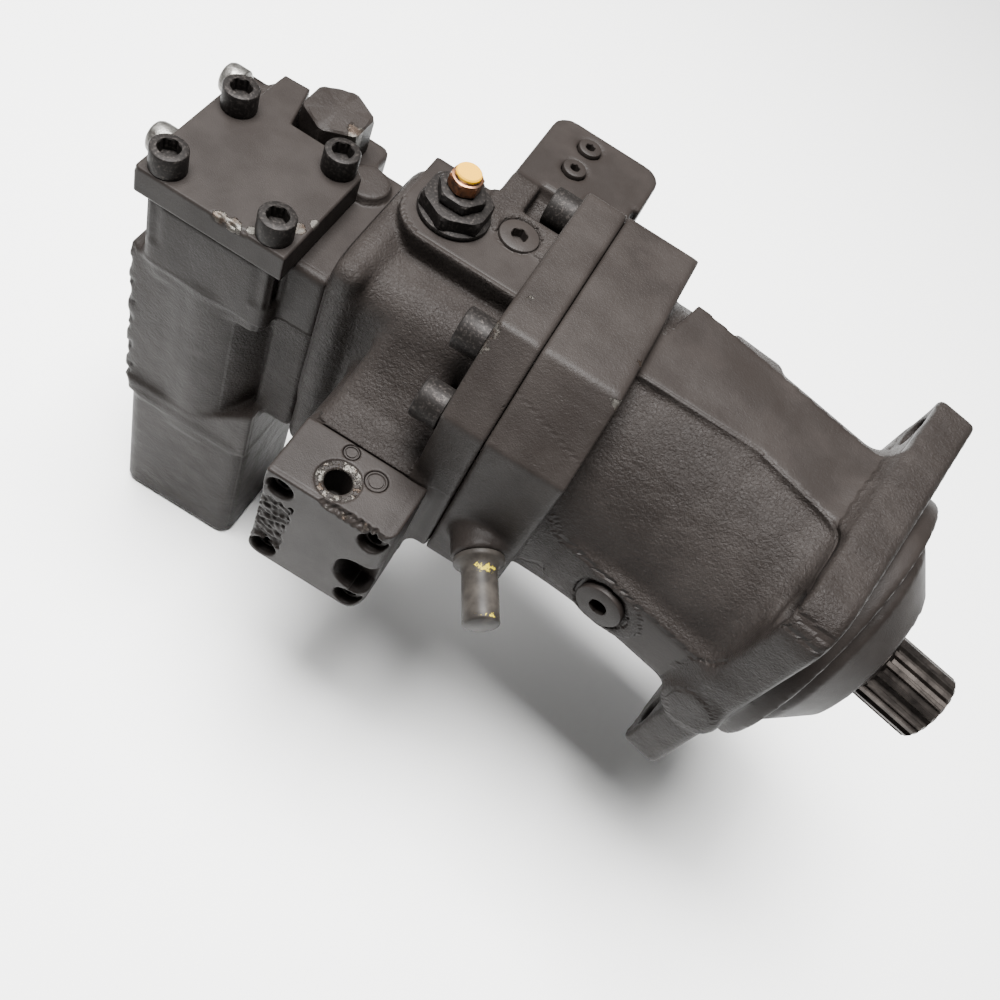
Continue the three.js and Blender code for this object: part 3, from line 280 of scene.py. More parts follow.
def casting(name, field, grid, step):
    """A piece from a distance field on a grid of the turned frame, placed in the shaft frame.
    Returns it with its vertices as they are in the turned frame."""
    vertices, faces = skin_of(field, grid, step)
    x, y = to_shaft(vertices[:, 0], vertices[:, 1])
    piece = mesh_piece(name, np.stack([x, y, vertices[:, 2]], axis=1), faces)
    return piece, vertices


step = 1.9
grid = turned_grid((-90, -112, -100), (142, 122, 98), step)
a, w, z = grid
x, y = to_shaft(a, w)
corner_r = np.where((y < 0) & (z > 0), 22.0, 8.0)
side_y = np.abs(y) - FLANGE_HALF_Y + corner_r
side_z = np.abs(z) - FLANGE_HALF_Z + corner_r
flange = (np.sqrt(np.maximum(side_y, 0) ** 2 + np.maximum(side_z, 0) ** 2)
          + np.minimum(np.maximum(side_y, side_z), 0) - corner_r + FLANGE_EDGE)
flange_ends = np.abs(x + FLANGE_THICK / 2) - FLANGE_THICK / 2 + FLANGE_EDGE
flange = (np.sqrt(np.maximum(flange, 0) ** 2 + np.maximum(flange_ends, 0) ** 2)
          + np.minimum(np.maximum(flange, flange_ends), 0) - FLANGE_EDGE)
radius = np.sqrt(y ** 2 + z ** 2)
barrel = join(np.maximum(np.maximum(radius - BARREL_R, x + 12), -x - 118),
              bar_field(w, z, a, BARREL_R, JOINT_A, 18), 6)
plateau_near = np.interp(x.ravel(), [-142, -134, -75, -27], [-34, -33, -21, -25]).reshape(x.shape)
plateau = np.maximum(np.maximum(z - PLATEAU_TOP, np.maximum(plateau_near - y, y - 28)),
                     np.maximum(x + 12, np.maximum(-x - 142, -z)))
side_pad = box_field((x, y, z), (-112, SIDE_PAD_Y, -20), (-14, -40, 16), 4)
drain_boss = bar_field(x - DRAIN_X, z - DRAIN_Z, y, 19, SIDE_PAD_Y, -40, 3)
flange_boss = bar_field(x + 15, z + 17, y, 16, -89, -60, 3)
joint_flange = prism_field(w, z, a, JOINT_OUTLINE, JOINT_A, -46, 1.2)
stop_along = (a - STOP_A) * np.sin(STOP_TURN) - (w - STOP_W) * np.cos(STOP_TURN)
stop_across = (a - STOP_A) * np.cos(STOP_TURN) + (w - STOP_W) * np.sin(STOP_TURN)
stop_boss = bar_field(stop_across, z - STOP_Z, stop_along, 14, -20, -0.3, 1.5)
housing = join(barrel, plateau, 2.5)
housing = join(housing, side_pad, 7)
housing = join(housing, drain_boss, 5)
housing = join(housing, flange, 14)
housing = join(housing, flange_boss, 5)
housing = join(housing, joint_flange, 4)
housing = join(housing, stop_boss, 4)
pilot = bar_field(y, z, x, BARREL_R, -5, 12, 2)
housing = join(housing, pilot, 2)
nose_r = np.interp(x.ravel(), [12, 20, 38], [62, 62, 43]).reshape(x.shape)
nose = np.maximum((radius - nose_r) * 0.72, np.maximum(x - 38, -x))
housing = join(housing, nose, 3)
shaft_bore_r = np.interp(
    x.ravel(), [-112, -70, -69.9, -40, -39.9, -2.1, -2, 18.3, 18.4, 22.6, 22.7, 60],
    [57, 57, 50.3, 50.3, 35, 35, 40.3, 40.3, 28, 28, 31.3, 31.3]).reshape(x.shape)
housing = cut(housing, np.maximum(radius - shaft_bore_r, -x - 112))
housing = cut(housing, block_chamber(grid))
for hole_y in (-MOUNT_HOLE, MOUNT_HOLE):
    for hole_z in (-MOUNT_HOLE, MOUNT_HOLE):
        hole = np.sqrt((y - hole_y) ** 2 + (z - hole_z) ** 2)
        housing = cut(housing, np.maximum(hole - MOUNT_HOLE_R, np.abs(x + 20) - 40))
        housing = cut(housing, np.maximum(hole - SPOT_FACE_R, np.abs(x + 32) - 10.5), 1.5)
for screw_w, screw_z in FLANGE_SCREWS:
    across = np.sqrt((w - screw_w) ** 2 + (z - screw_z) ** 2)
    housing = cut(housing, np.maximum(across - SCREW_HOLE_R, a + 59))
housing = cut(housing, bar_field(x - DRAIN_X, z - DRAIN_Z, y, 15.5, -90, SIDE_PAD_Y + 1), 0.8)
housing = cut(housing, bar_field(x - DRAIN_X, z - DRAIN_Z, y, 8.3, -90, -60))
housing = cut(housing, bar_field(stop_across, z - STOP_Z, stop_along, 6.2, -56, 5))
main_housing, points = casting("housing_casting", housing, grid, step)


def nodes_of(name, metallic=0.0, roughness=0.5):
    """A new material, with its node tree and its Principled shader."""
    material = bpy.data.materials.new(name)
    material.use_nodes = True
    tree = material.node_tree
    shader = tree.nodes["Principled BSDF"]
    shader.inputs["Metallic"].default_value = metallic
    shader.inputs["Roughness"].default_value = roughness
    shader.inputs["Specular IOR Level"].default_value = 0.08
    return material, tree, shader


def noise(tree, scale, detail=3.0, roughness=0.55, distortion=0.0):
    """The grey output of a noise texture on Object coordinates, with scale in cells a metre."""
    place = tree.nodes.new("ShaderNodeTexCoord")
    texture = tree.nodes.new("ShaderNodeTexNoise")
    texture.inputs["Scale"].default_value = scale
    texture.inputs["Detail"].default_value = detail
    texture.inputs["Roughness"].default_value = roughness
    texture.inputs["Distortion"].default_value = distortion
    tree.links.new(place.outputs["Object"], texture.inputs["Vector"])
    return texture.outputs["Fac"]


def maths(tree, operation, first, second):
    """One Math node. Each value is a number or another node's output."""
    node = tree.nodes.new("ShaderNodeMath")
    node.operation = operation
    for socket, value in zip(node.inputs, (first, second)):
        if isinstance(value, (int, float)):
            socket.default_value = value
        else:
            tree.links.new(value, socket)
    return node.outputs[0]


def ramp(tree, value, start, end):
    """A Map Range node's output: 0 below start and 1 above end, straight between."""
    node = tree.nodes.new("ShaderNodeMapRange")
    tree.links.new(value, node.inputs["Value"])
    node.inputs["From Min"].default_value = start
    node.inputs["From Max"].default_value = end
    return node.outputs["Result"]


def colours(tree, share, first, second):
    """A colour that goes from first to second as share goes from 0 to 1. Either may be an
    output of another node."""
    node = tree.nodes.new("ShaderNodeMix")
    node.data_type = "RGBA"
    tree.links.new(share, node.inputs["Factor"])
    sockets = [n for n in node.inputs if n.type == "RGBA"]
    for socket, value in zip(sockets, (first, second)):
        if isinstance(value, tuple):
            socket.default_value = (*value, 1)
        else:
            tree.links.new(value, socket)
    return [n for n in node.outputs if n.type == "RGBA"][0]


def attribute(tree, name):
    """The piece's own number of that name at each vertex."""
    node = tree.nodes.new("ShaderNodeAttribute")
    node.attribute_name = name
    return node.outputs["Fac"]


def roughen(tree, shader, height, strength, distance):
    """Bumps on the surface from a height, with the distance in metres."""
    bump = tree.nodes.new("ShaderNodeBump")
    bump.inputs["Strength"].default_value = strength
    bump.inputs["Distance"].default_value = distance
    tree.links.new(height, bump.inputs["Height"])
    tree.links.new(bump.outputs["Normal"], shader.inputs["Normal"])


PAINT = (0.0112, 0.0091, 0.0081)
PAINT_DUSTY = (0.0176, 0.0148, 0.0134)
BARE_IRON = (0.060, 0.056, 0.050)
RUST = (0.030, 0.022, 0.017)


def sprayed_paint(name):
    """Dark paint over iron. Where the piece's number "machined" is 0 the skin is pebbled, as
    cast. Where it is 1 there are only fine tool marks. Where "bare" is high the paint has
    broken away in flakes and shows iron with a little rust."""
    material, tree, shader = nodes_of(name)
    machined = attribute(tree, "machined")
    bare = attribute(tree, "bare")
    flakes = maths(tree, "ADD", bare, maths(tree, "MULTIPLY", noise(tree, 420, 5, 0.7), 0.9))
    gone = ramp(tree, flakes, 0.98, 1.04)
    dust = ramp(tree, noise(tree, 26, 4, 0.6), 0.42, 0.72)
    paint = colours(tree, dust, PAINT, PAINT_DUSTY)
    iron = colours(tree, ramp(tree, noise(tree, 150, 4), 0.45, 0.6), BARE_IRON, RUST)
    tree.links.new(colours(tree, gone, paint, iron), shader.inputs["Base Color"])
    gloss = maths(tree, "ADD", maths(tree, "MULTIPLY", noise(tree, 60, 3), 0.2), 0.36)
    tree.links.new(gloss, shader.inputs["Roughness"])
    tree.links.new(maths(tree, "MULTIPLY", gone, 0.7), shader.inputs["Metallic"])
    cast = maths(tree, "SUBTRACT", 1.0, machined)
    pebbles = maths(tree, "MULTIPLY", noise(tree, 700, 3.5, 0.62, 0.5), cast)
    swells = maths(tree, "MULTIPLY", noise(tree, 90, 2, 0.5), maths(tree, "MULTIPLY", cast, 1.3))
    tool = maths(tree, "MULTIPLY", noise(tree, 1500, 2, 0.5), 0.16)
    height = maths(tree, "ADD", maths(tree, "ADD", pebbles, swells), tool)
    height = maths(tree, "SUBTRACT", height, maths(tree, "MULTIPLY", gone, 0.5))
    roughen(tree, shader, height, 1.0, 0.0009)
    return material


def write_number(piece, name, values):
    """Keeps one number for each vertex on the piece, under that name."""
    numbers = piece.data.attributes.new(name, "FLOAT", "POINT")
    numbers.data.foreach_set("value", np.clip(values, 0, 1).astype(np.float32))


def spots(points, places):
    """High near any of the places, each [a, w, z, radius]: the largest of
    1 - (distance / radius) squared."""
    return np.max([1 - np.sum((points - np.array(spot[:3])) ** 2, axis=1) / spot[3] ** 2
                   for spot in places] + [np.zeros(len(points))], axis=0)


def near_face(value, level, tolerance=0.35):
    """1 where the value is within the tolerance of a level, and 0 elsewhere."""
    return (np.abs(value - level) < tolerance).astype(float)


px, py = to_shaft(points[:, 0], points[:, 1])
pa, pw, pz = points.T
on_flange = np.abs(pa - JOINT_A - 20.5) < 21
on_plateau = (pz > PLATEAU_TOP - 0.6) & (pz < PLATEAU_TOP + 2)
machined = np.max([on_flange * 0.75, on_plateau * 0.8, near_face(py, SIDE_PAD_Y) * 0.9,
                   np.clip((px + 4) / 6, 0, 1), near_face(py, -89) * 0.7], axis=0)
write_number(main_housing, "machined", machined)
write_number(main_housing, "bare", 0.66 * spots(points, [
    (-47, -55, 88, 7), (-47, -28, 90, 5), (8, 56, 81, 7), (74, 60, 82, 8), (80, 52, 80, 7)]))
cast_paint = sprayed_paint("sprayed_paint_on_iron")
main_housing.data.materials.append(cast_paint)
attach(main_housing, "casing")
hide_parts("main_housing")

# ---------- port plate ----------
# A second casting, bolted to the housing at the angled joint. A neck with rolled shoulders
# carries the flat pad of the relief valve, a square block stands out on the far side, and a
# sloping hump on the near side carries the control block.
PORT_FLANGE_A = -110
PLATE_REAR = -189.7
PAD_TOP = 68
RELIEF_AT = (-159.5, 12.5)
GAUGE_AT = (-127.5, 24)
BLOCK_PLUGS = [(-124.8, 109), (-125, 88)]
CONTROL_A = (-166, -99)
CONTROL_Z = (-76, 4)
CONTROL_CORNER_R = 7
CONTROL_SCREWS = [(-157.25, -6), (-107.75, -6), (-157.25, -66), (-107.75, -66)]
NEAR_MOUNT_W = -88
step = 1.7
grid = turned_grid((-192, -92, -90), (-80, 128, 96), step)
a, w, z = grid
plate = prism_field(w, z, a, JOINT_OUTLINE, PORT_FLANGE_A, JOINT_A - 0.3, 1.2)
neck = slab_field(w, z, a, (-45, 45), (-58, 54), 18, PLATE_REAR, PORT_FLANGE_A + 2, 3)
valve_seat = box_field(grid, (PLATE_REAR, -50, -88), (-174, 42, 60), 7)
pad_corner = np.sqrt(np.maximum(-163 - a, 0) ** 2 + np.maximum(8 - w, 0) ** 2) - 21
pad = np.maximum(np.maximum(pad_corner, w - np.where(a < -149, 42.0, 60.0)),
                 np.maximum(z - PAD_TOP, np.maximum(a - PORT_FLANGE_A - 1, 34 - z)))
far_block = slab_field(a, w, z, (-149, -84), (20, 124), 11, -22, PAD_TOP, 1.2)
far_block = np.maximum(far_block, np.minimum(a - (JOINT_A - 0.3), 87.6 - w))
hump_top = np.interp(w.ravel(), [-88, -72, -60, -46, -30], [4.5, 12, 22, 38, 46]).reshape(w.shape)
hump_half = np.interp(w.ravel(), [-88, -46, -30], [33.5, 21, 15]).reshape(w.shape)
hump_side = np.abs(a + 132.5 + 0.12 * (w + 88)) - hump_half + 9
hump_over = (z - hump_top) * 0.8 + 9
hump = (np.sqrt(np.maximum(hump_side, 0) ** 2 + np.maximum(hump_over, 0) ** 2)
        + np.minimum(np.maximum(hump_side, hump_over), 0) - 9)
hump = np.maximum(hump, np.maximum(NEAR_MOUNT_W - w, np.maximum(w + 18, -60 - z)))
near_mount = slab_field(a, z, w, CONTROL_A, CONTROL_Z, CONTROL_CORNER_R, NEAR_MOUNT_W, -20, 1.0)
port_plate = join(neck, valve_seat, 7)
port_plate = join(port_plate, plate, 4)
port_plate = join(port_plate, join(near_mount, hump, 4), 6)
port_plate = join(port_plate, pad, 2)
port_plate = join(port_plate, far_block, 5)
port_plate = cut(port_plate, block_chamber(grid))
port_plate = cut(port_plate, bar_field(a + 121, z, w, 14.3, -62, 62))
port_plate = cut(port_plate, box_field(grid, (-130, -35, -6.5), (-98, 35, 6.5)))
for screw_w, screw_z in FLANGE_SCREWS:
    across = np.sqrt((w - screw_w) ** 2 + (z - screw_z) ** 2)
    port_plate = cut(port_plate, np.maximum(across - SCREW_HOLE_R, np.abs(a + 98) - 14))
    port_plate = cut(port_plate, np.maximum(across - 13, np.abs(a + 121.6) - 11.6), 1.5)
for (at_a, at_w), bore, depth in ((RELIEF_AT, 12.3, 28), (GAUGE_AT, 9.3, 20), (GAUGE_AT, 10.9, 3.2),
                                  (BLOCK_PLUGS[0], 6.8, 12), (BLOCK_PLUGS[1], 6.8, 12)):
    bore_field = bar_field(a - at_a, w - at_w, z, bore, PAD_TOP - depth, PAD_TOP + 7, 0.3)
    port_plate = cut(port_plate, bore_field)
for at_a, at_z in CONTROL_SCREWS:
    port_plate = cut(port_plate, bar_field(a - at_a, z - at_z, w, 4.3, -95, -72, 0.3))
port_plate, points = casting("port_plate_casting", port_plate, grid, step)
pa, pw, pz = points.T
machined = np.max([near_face(pz, PAD_TOP), (pa > PORT_FLANGE_A - 0.8) * 0.75,
                   near_face(pa, PLATE_REAR), (pw > 61) * 0.85,
                   ((pw < NEAR_MOUNT_W + 4) & (pz < 5)).astype(float)], axis=0)
write_number(port_plate, "machined", machined)
write_number(port_plate, "bare", 0.66 * spots(points, [
    (-111, -54, 86, 10), (-111, -60, 80, 8), (-104, -30, 90, 4)]))
port_plate.data.materials.append(cast_paint)
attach(port_plate, "casing")
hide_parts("port_plate")

# ---------- brake valve body ----------
# A tall casting behind the port plate. The square head under the cover stands on a round
# barrel, and below it hangs a square block whose top rises round the barrel in a crescent.
VALVE_A = -248.0  # the axis of the spool, which stands along z
VALVE_W = -20.0
VALVE_FACE = 39.7
COVER_SCREW_SIDE = 28.5  # each way from the valve's axis
REAR_SCREWS_W = (-14, 48)
REAR_SCREWS_Z = 31
HEX_PLUG_AT = (-238, 38)
VALVE_REAR = -292
VALVE_PORTS_Z = (-30, -88)  # levels of the two ports in the rear pad


def rough(p, size, seed):
    """A smooth random number between about -1 and 1 at each point: a quarter of the sum of
    seven sine waves. Their directions and phases are drawn from the seed, and their lengths
    are size / (1 + 0.35 k) for k from 0 to 6."""
    draw = np.random.default_rng(seed)
    total = 0
    for k in range(7):
        direction = draw.normal(size=3)
        direction *= 2 * np.pi / size * (1 + 0.35 * k) / np.linalg.norm(direction)
        phase = draw.uniform(0, 2 * np.pi)
        total = total + np.sin(sum(c * d for c, d in zip(p, direction)) + phase)
    return total / 4


step = 1.8
grid = turned_grid((-300, -62, -232), (-186, 64, 46), step)
a, w, z = grid
head = slab_field(a, w, z, (VALVE_A - 36, VALVE_A + 36), (-56, 58), 6, -4, VALVE_FACE, 1)
head_foot = slab_field(a, w, z, (VALVE_A - 34, VALVE_A + 34), (-54, 18), 8, -14, 8, 4)
valve_barrel = bar_field(a - VALVE_A, w - VALVE_W, z, 36.5, -132, 0, 1)
lower_block = slab_field(a, w, z, (VALVE_A - 40, VALVE_A + 40), (VALVE_W - 36, VALVE_W + 36), 9,
                         -226, -118, 3)
crescent_top = -112 + 0.9 * np.maximum(a - VALVE_A - 4, 0)
crescent = np.maximum(np.maximum(np.abs(a - VALVE_A) - 40, np.abs(w - VALVE_W) - 36),
                      np.maximum((z - crescent_top) * 0.74, -124 - z))
bridge = box_field(grid, (VALVE_A, -34, -88), (-200, 6, 4), 6)
valve_flange = box_field(grid, (-214, -44, -88), (-190.3, 42, VALVE_FACE), 4)
port_pad = np.minimum(box_field(grid, (VALVE_REAR, -54, -116), (-258, 10, -2), 2),
                      box_field(grid, (-270, -50, -116), (VALVE_A, 10, -6), 2))
valve_body = join(head, head_foot, 3)
valve_body = join(valve_body, valve_barrel, 2.5)
valve_body = join(valve_body, lower_block, 4)
valve_body = join(valve_body, crescent, 2.5)
valve_body = join(valve_body, bridge, 3)
valve_body = join(valve_body, valve_flange, 4)
valve_body = join(valve_body, port_pad, 4)
for at_w in REAR_SCREWS_W:
    valve_body = join(valve_body, bar_field(w - at_w, z - REAR_SCREWS_Z, a, 7.5, -295.7, -270), 2)
valve_body = join(valve_body, bar_field(a + 209, w - 25, z, 12, 30, 44, 1), 2)
valve_body = cut(valve_body, bar_field(a - VALVE_A, w - VALVE_W, z, 13.8, -200, 50))
for at_z in VALVE_PORTS_Z:
    valve_body = cut(valve_body, bar_field(w - VALVE_W, z - at_z, a, 15, -300, -255), 1)
cover_screws = [(VALVE_A + side_a, VALVE_W + side_w) for side_a, side_w in (
    (-COVER_SCREW_SIDE, COVER_SCREW_SIDE), (-COVER_SCREW_SIDE, -COVER_SCREW_SIDE),
    (COVER_SCREW_SIDE, -COVER_SCREW_SIDE), (COVER_SCREW_SIDE, COVER_SCREW_SIDE))]
for at_a, at_w in cover_screws:
    valve_body = cut(valve_body, bar_field(a - at_a, w - at_w, z, 6.3, 12, 50))
for at_w in REAR_SCREWS_W:
    valve_body = cut(valve_body, bar_field(w - at_w, z - REAR_SCREWS_Z, a, 6.3, -300, -254))
valve_body = cut(valve_body, bar_field(a - HEX_PLUG_AT[0], w - HEX_PLUG_AT[1], z, 12.3, 16, 50))
# Blows have broken the long rear edge on the near side.
torn_edge = np.sqrt((a + 293) ** 2 + (w + 56) ** 2) - 3.5 - 3.0 * rough(grid, 17, 31)
valve_body = cut(valve_body, np.maximum(torn_edge, np.abs(z + 58) - 60), 0.8)
valve_body, points = casting("brake_valve_casting", valve_body, grid, step)
pa, pw, pz = points.T
machined = np.max([near_face(pz, VALVE_FACE), near_face(pa, VALVE_REAR), near_face(pa, -190.3),
                   (pz > -2) * 0.7, (pw < -52) * 0.5], axis=0)
write_number(valve_body, "machined", machined)
write_number(valve_body, "bare", 0.72 * spots(points, [
    (-287, -56, 38, 6), (-288, -40, -100, 7), (-288, -46, -60, 5), (-288, -50, -140, 6)]))
valve_body.data.materials.append(cast_paint)
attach(valve_body, "casing")
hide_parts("valve_body")

# ---------- control block ----------
# A machined iron block held on the port plate's near side by four sunk cap screws. Its top
# has a threaded port with a bare sealing ring and two pressed-in plugs. A fall has torn a
# patch between the left screws and broken the top edge beside the port.
CONTROL_FACE_W = -125.3
CONTROL_SEAT_W = -88.3
CONTROL_PORT_AT = (-136, -110.5)
CONTROL_PLUGS = [(-139, -93.5, 4), (-121.5, -100, 5.6)]
CONTROL_SPOOL_AT = (-106.8, -36)  # w and z
step = 0.75
grid = turned_grid((-170, -129, -80), (-95, -85, 8), step)
a, w, z = grid
control = slab_field(a, z, w, CONTROL_A, CONTROL_Z, CONTROL_CORNER_R, CONTROL_FACE_W, CONTROL_SEAT_W,
                     0.8)
sharp_top = box_field(grid, (CONTROL_A[0], CONTROL_FACE_W, -20),
                      (CONTROL_A[1], CONTROL_SEAT_W, CONTROL_Z[1]), 1.1)
control = join(control, sharp_top, 0.5)
right_edge = np.sqrt(np.maximum(a + 108, 0) ** 2 + np.maximum(-116.3 - w, 0) ** 2) - 9
control = np.maximum(control, right_edge)
torn = rough(grid, 14, 44)
patch = np.maximum(np.abs(a + 159) - 10 + 1.5 * torn, np.abs(z + 38) - 21 + 2.5 * torn)
torn_floor = w + 123.6 - 0.9 * rough(grid, 9, 57) - 0.4 * rough(grid, 4, 58)
control = cut(control, np.maximum(patch, torn_floor), 0.4)
chip = np.sqrt(np.maximum(np.abs(a + 120) - 13, 0) ** 2 + (w + 127.5) ** 2 + (z - 5.5) ** 2) - 5.6
control = cut(control, chip - 1.1 * rough(grid, 7, 12), 0.4)
left_edge = np.sqrt((a - CONTROL_A[0]) ** 2 + (w - CONTROL_FACE_W) ** 2)
edge_chips = left_edge - 1.6 - 1.2 * rough(grid, 9, 21)
control = cut(control, np.maximum(edge_chips, np.abs(z + 38) - 28), 0.4)
pocket = np.sqrt((a + 108) ** 2 + np.maximum(np.abs(z + 42) - 2, 0) ** 2) - 11.5
pocket = np.minimum(pocket, np.maximum(np.abs(z + 48) - 9 - 0.2 * (a + 108), -108 - a))
control = cut(control, np.maximum(pocket, w + 112), 1.2)
control = join(control, bar_field(a + 110, z + 41, w, 6.5, -114.5, -108, 0.6), 0.8)
for at_a, at_z in CONTROL_SCREWS:
    control = cut(control, bar_field(a - at_a, z - at_z, w, 7.1, -140, -112.3, 0.3), 0.9)
    control = cut(control, bar_field(a - at_a, z - at_z, w, 4.3, -140, -80, 0.3))
port_a = a - CONTROL_PORT_AT[0]
port_w = w - CONTROL_PORT_AT[1]
thread_pitch = 1.5
turns = z / thread_pitch + np.arctan2(port_w, port_a) / (2 * np.pi)
thread = 0.45 * np.abs(turns % 1 - 0.5) * (z < 1.5)
control = cut(control, bar_field(port_a, port_w, z, 6.9, -18, 12, 0.3) - thread, 0.5)
control = cut(control, bar_field(port_a, port_w, z, 11.5, 3.2, 12, 0.2), 0.5)
for at_a, at_w, plug_r in CONTROL_PLUGS:
    control = cut(control, bar_field(a - at_a, w - at_w, z, plug_r + 0.3, -4, 12, 0.3), 0.5)
spool_bore = bar_field(w - CONTROL_SPOOL_AT[0], z - CONTROL_SPOOL_AT[1], a, 7.3, -175, -107, 0.3)
control = cut(control, spool_bore, 0.5)
control_block, points = casting("control_block_machined", control, grid, step)
pa, pw, pz = points.T
write_number(control_block, "machined", np.where(np.abs(pw + 124) < 1.5, 1.0, 0.85))
port_ring = np.hypot(pa - CONTROL_PORT_AT[0], pw - CONTROL_PORT_AT[1])
torn_patch = (np.abs(pa + 159) < 9) & (np.abs(pz + 38) < 20) & (pw < -122)
chipped = spots(points, [(-133, -125.5, 4, 5), (-124, -125.5, 4, 6), (-113, -125.5, 4, 6)])
write_number(control_block, "bare", np.max([
    (port_ring < 11.4) * (pz > 2) * 0.56, torn_patch * 0.42, chipped * 0.8,
    (pw < -124) * (np.abs(pa + 166) < 2.5) * 0.35], axis=0))
control_block.data.materials.append(cast_paint)
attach(control_block, "casing")
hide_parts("control_block")

# ---------- valve cover ----------
# A milled steel plate on the brake valve's head, with square edges and a tab towards the hex
# plug. Its near edge is knocked in beside the front screw.
COVER_FOOT = 40
COVER_TOP = 56
step = 0.8
grid = turned_grid((-292, -62, 36), (-204, 50, 60), step)
a, w, z = grid
plate_part = prism_field(a, w, z, [(-288, -58), (-208, -58), (-208, 12), (-215, 18), (-288, 18)],
                         COVER_FOOT, COVER_TOP, 0.7)
tab_part = prism_field(a, w, z, [(-274.5, 8), (-250, 8), (-259, 46.5), (-273.5, 45.5)],
                       COVER_FOOT, COVER_TOP, 0.7)
cover = np.minimum(plate_part, tab_part)
knock = np.sqrt(np.maximum(np.abs(a + 238) - 7, 0) ** 2 + (w + 60) ** 2 + (z - 58) ** 2) - 4.6
cover = cut(cover, knock - 1.3 * rough(grid, 8, 3), 0.4)
knock = np.sqrt((a + 289) ** 2 + (w + 59) ** 2 + (z - 57) ** 2) - 3.4
cover = cut(cover, knock - 0.9 * rough(grid, 6, 8), 0.4)
for at_a, at_w in cover_screws:
    cover = cut(cover, bar_field(a - at_a, w - at_w, z, 6.3, 30, 70))
valve_cover, points = casting("valve_cover_milled", cover, grid, step)
write_number(valve_cover, "machined", np.ones(len(points)))
write_number(valve_cover, "bare", 0.85 * spots(points, [
    (-243, -57, 56, 6), (-236, -57, 56, 7), (-228, -54, 56, 4), (-213, -38, 56, 6),
    (-208.5, -30, 56, 5), (-288, -57, 55, 3)]))
valve_cover.data.materials.append(cast_paint)
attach(valve_cover, "casing")
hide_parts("valve_cover")

# ---------- cap screws ----------
# Socket head cap screws, black oxide under a thin coat of paint: six in the joint, four in
# the cover, four sunk in the control block.


SHARP = np.inf  # a corner radius that leaves a hexagon whole


def turned_place(position, direction):
    """The matrix that puts a piece turned about Z at a point of the turned frame, in
    millimetres, with its own Z along a direction of the turned frame."""
    turn = Matrix.Rotation(BEND, 4, "Z")
    place = Matrix.Translation(Vector((BEND_X, 0, 0))) @ turn @ Matrix.Translation(Vector(position))
    return place @ Vector(direction).to_track_quat("Z", "Y").to_matrix().to_4x4()


def turned_piece(name, stations, place, sharp=30):
    """A closed turned piece, from stations carried round in even steps of angle. A station
    (height, radius) is a circle. A station (height, half flats, corner radius) is a hexagon,
    half flats / cos(angle past the nearest flat's middle), cut to a circle at its corners.
    Edges of more than sharp degrees are left sharp."""
    columns = 72
    angle = np.linspace(0, 2 * np.pi, columns, endpoint=False)
    past = (angle + np.pi / 6) % (np.pi / 3) - np.pi / 6
    rows = []
    for height, r, *corner_r in stations:
        around = np.full(columns, float(r))
        if corner_r:
            around = np.minimum(r / np.cos(past), corner_r[0])
        rows.append(np.stack([around * np.cos(angle), around * np.sin(angle),
                              np.full(columns, float(height))], axis=1))
    vertices = np.concatenate(rows)
    turn = np.array(place)[:3, :3]
    vertices = vertices @ turn.T + np.array(place)[:3, 3]
    row, column = np.meshgrid(np.arange(len(stations) - 1), np.arange(columns), indexing="ij")
    following = (column + 1) % columns
    faces = np.stack([row * columns + column, row * columns + following,
                      (row + 1) * columns + following, (row + 1) * columns + column],
                     axis=-1).reshape(-1, 4)
    piece = mesh_piece(name, vertices, faces)
    shape = bmesh.new()
    shape.from_mesh(piece.data)
    bmesh.ops.remove_doubles(shape, verts=shape.verts, dist=1e-6)
    bmesh.ops.recalc_face_normals(shape, faces=shape.faces)
    shape.to_mesh(piece.data)
    shape.free()
    piece.data.set_sharp_from_angle(angle=np.radians(sharp))
    return piece


def vertices_of(piece):
    """The piece's vertices in the shaft frame, in millimetres, one a row."""
    corners = np.empty(len(piece.data.vertices) * 3)
    piece.data.vertices.foreach_get("co", corners)
    return corners.reshape(-1, 3) * 1000


def cap_screw(head_r, head_height, shank_r, reach):
    """Stations of a cap screw whose head sits on height 0: up the socket from its floor, over
    the rim, down the head, under it, and down the shank to its tip."""
    half_flats = head_r * 0.56
    return [(head_height * 0.42, 0), (head_height * 0.45, half_flats * 0.96, SHARP),
            (head_height - 0.5, half_flats, SHARP), (head_height, half_flats * 1.1),
            (head_height, head_r - 1.0), (head_height - 0.35, head_r - 0.35),
            (head_height - 1.0, head_r), (0.35, head_r), (0, head_r - 0.35), (0, shank_r),
            (-reach + 1, shank_r), (-reach, shank_r - 1), (-reach, 0)]


def worn_black(name):
    """Black oxide that has gone a little grey on its high spots: near-black metal whose colour
    and gloss vary with two noises."""
    material, tree, shader = nodes_of(name, metallic=0.35)
    rub = ramp(tree, noise(tree, 700, 4, 0.65), 0.52, 0.78)
    tree.links.new(colours(tree, rub, (0.0085, 0.0075, 0.0070), (0.040, 0.035, 0.032)),
                   shader.inputs["Base Color"])
    tree.links.new(maths(tree, "ADD", maths(tree, "MULTIPLY", noise(tree, 200, 3), 0.25), 0.35),
                   shader.inputs["Roughness"])
    roughen(tree, shader, noise(tree, 900, 3), 0.35, 0.0003)
    return material


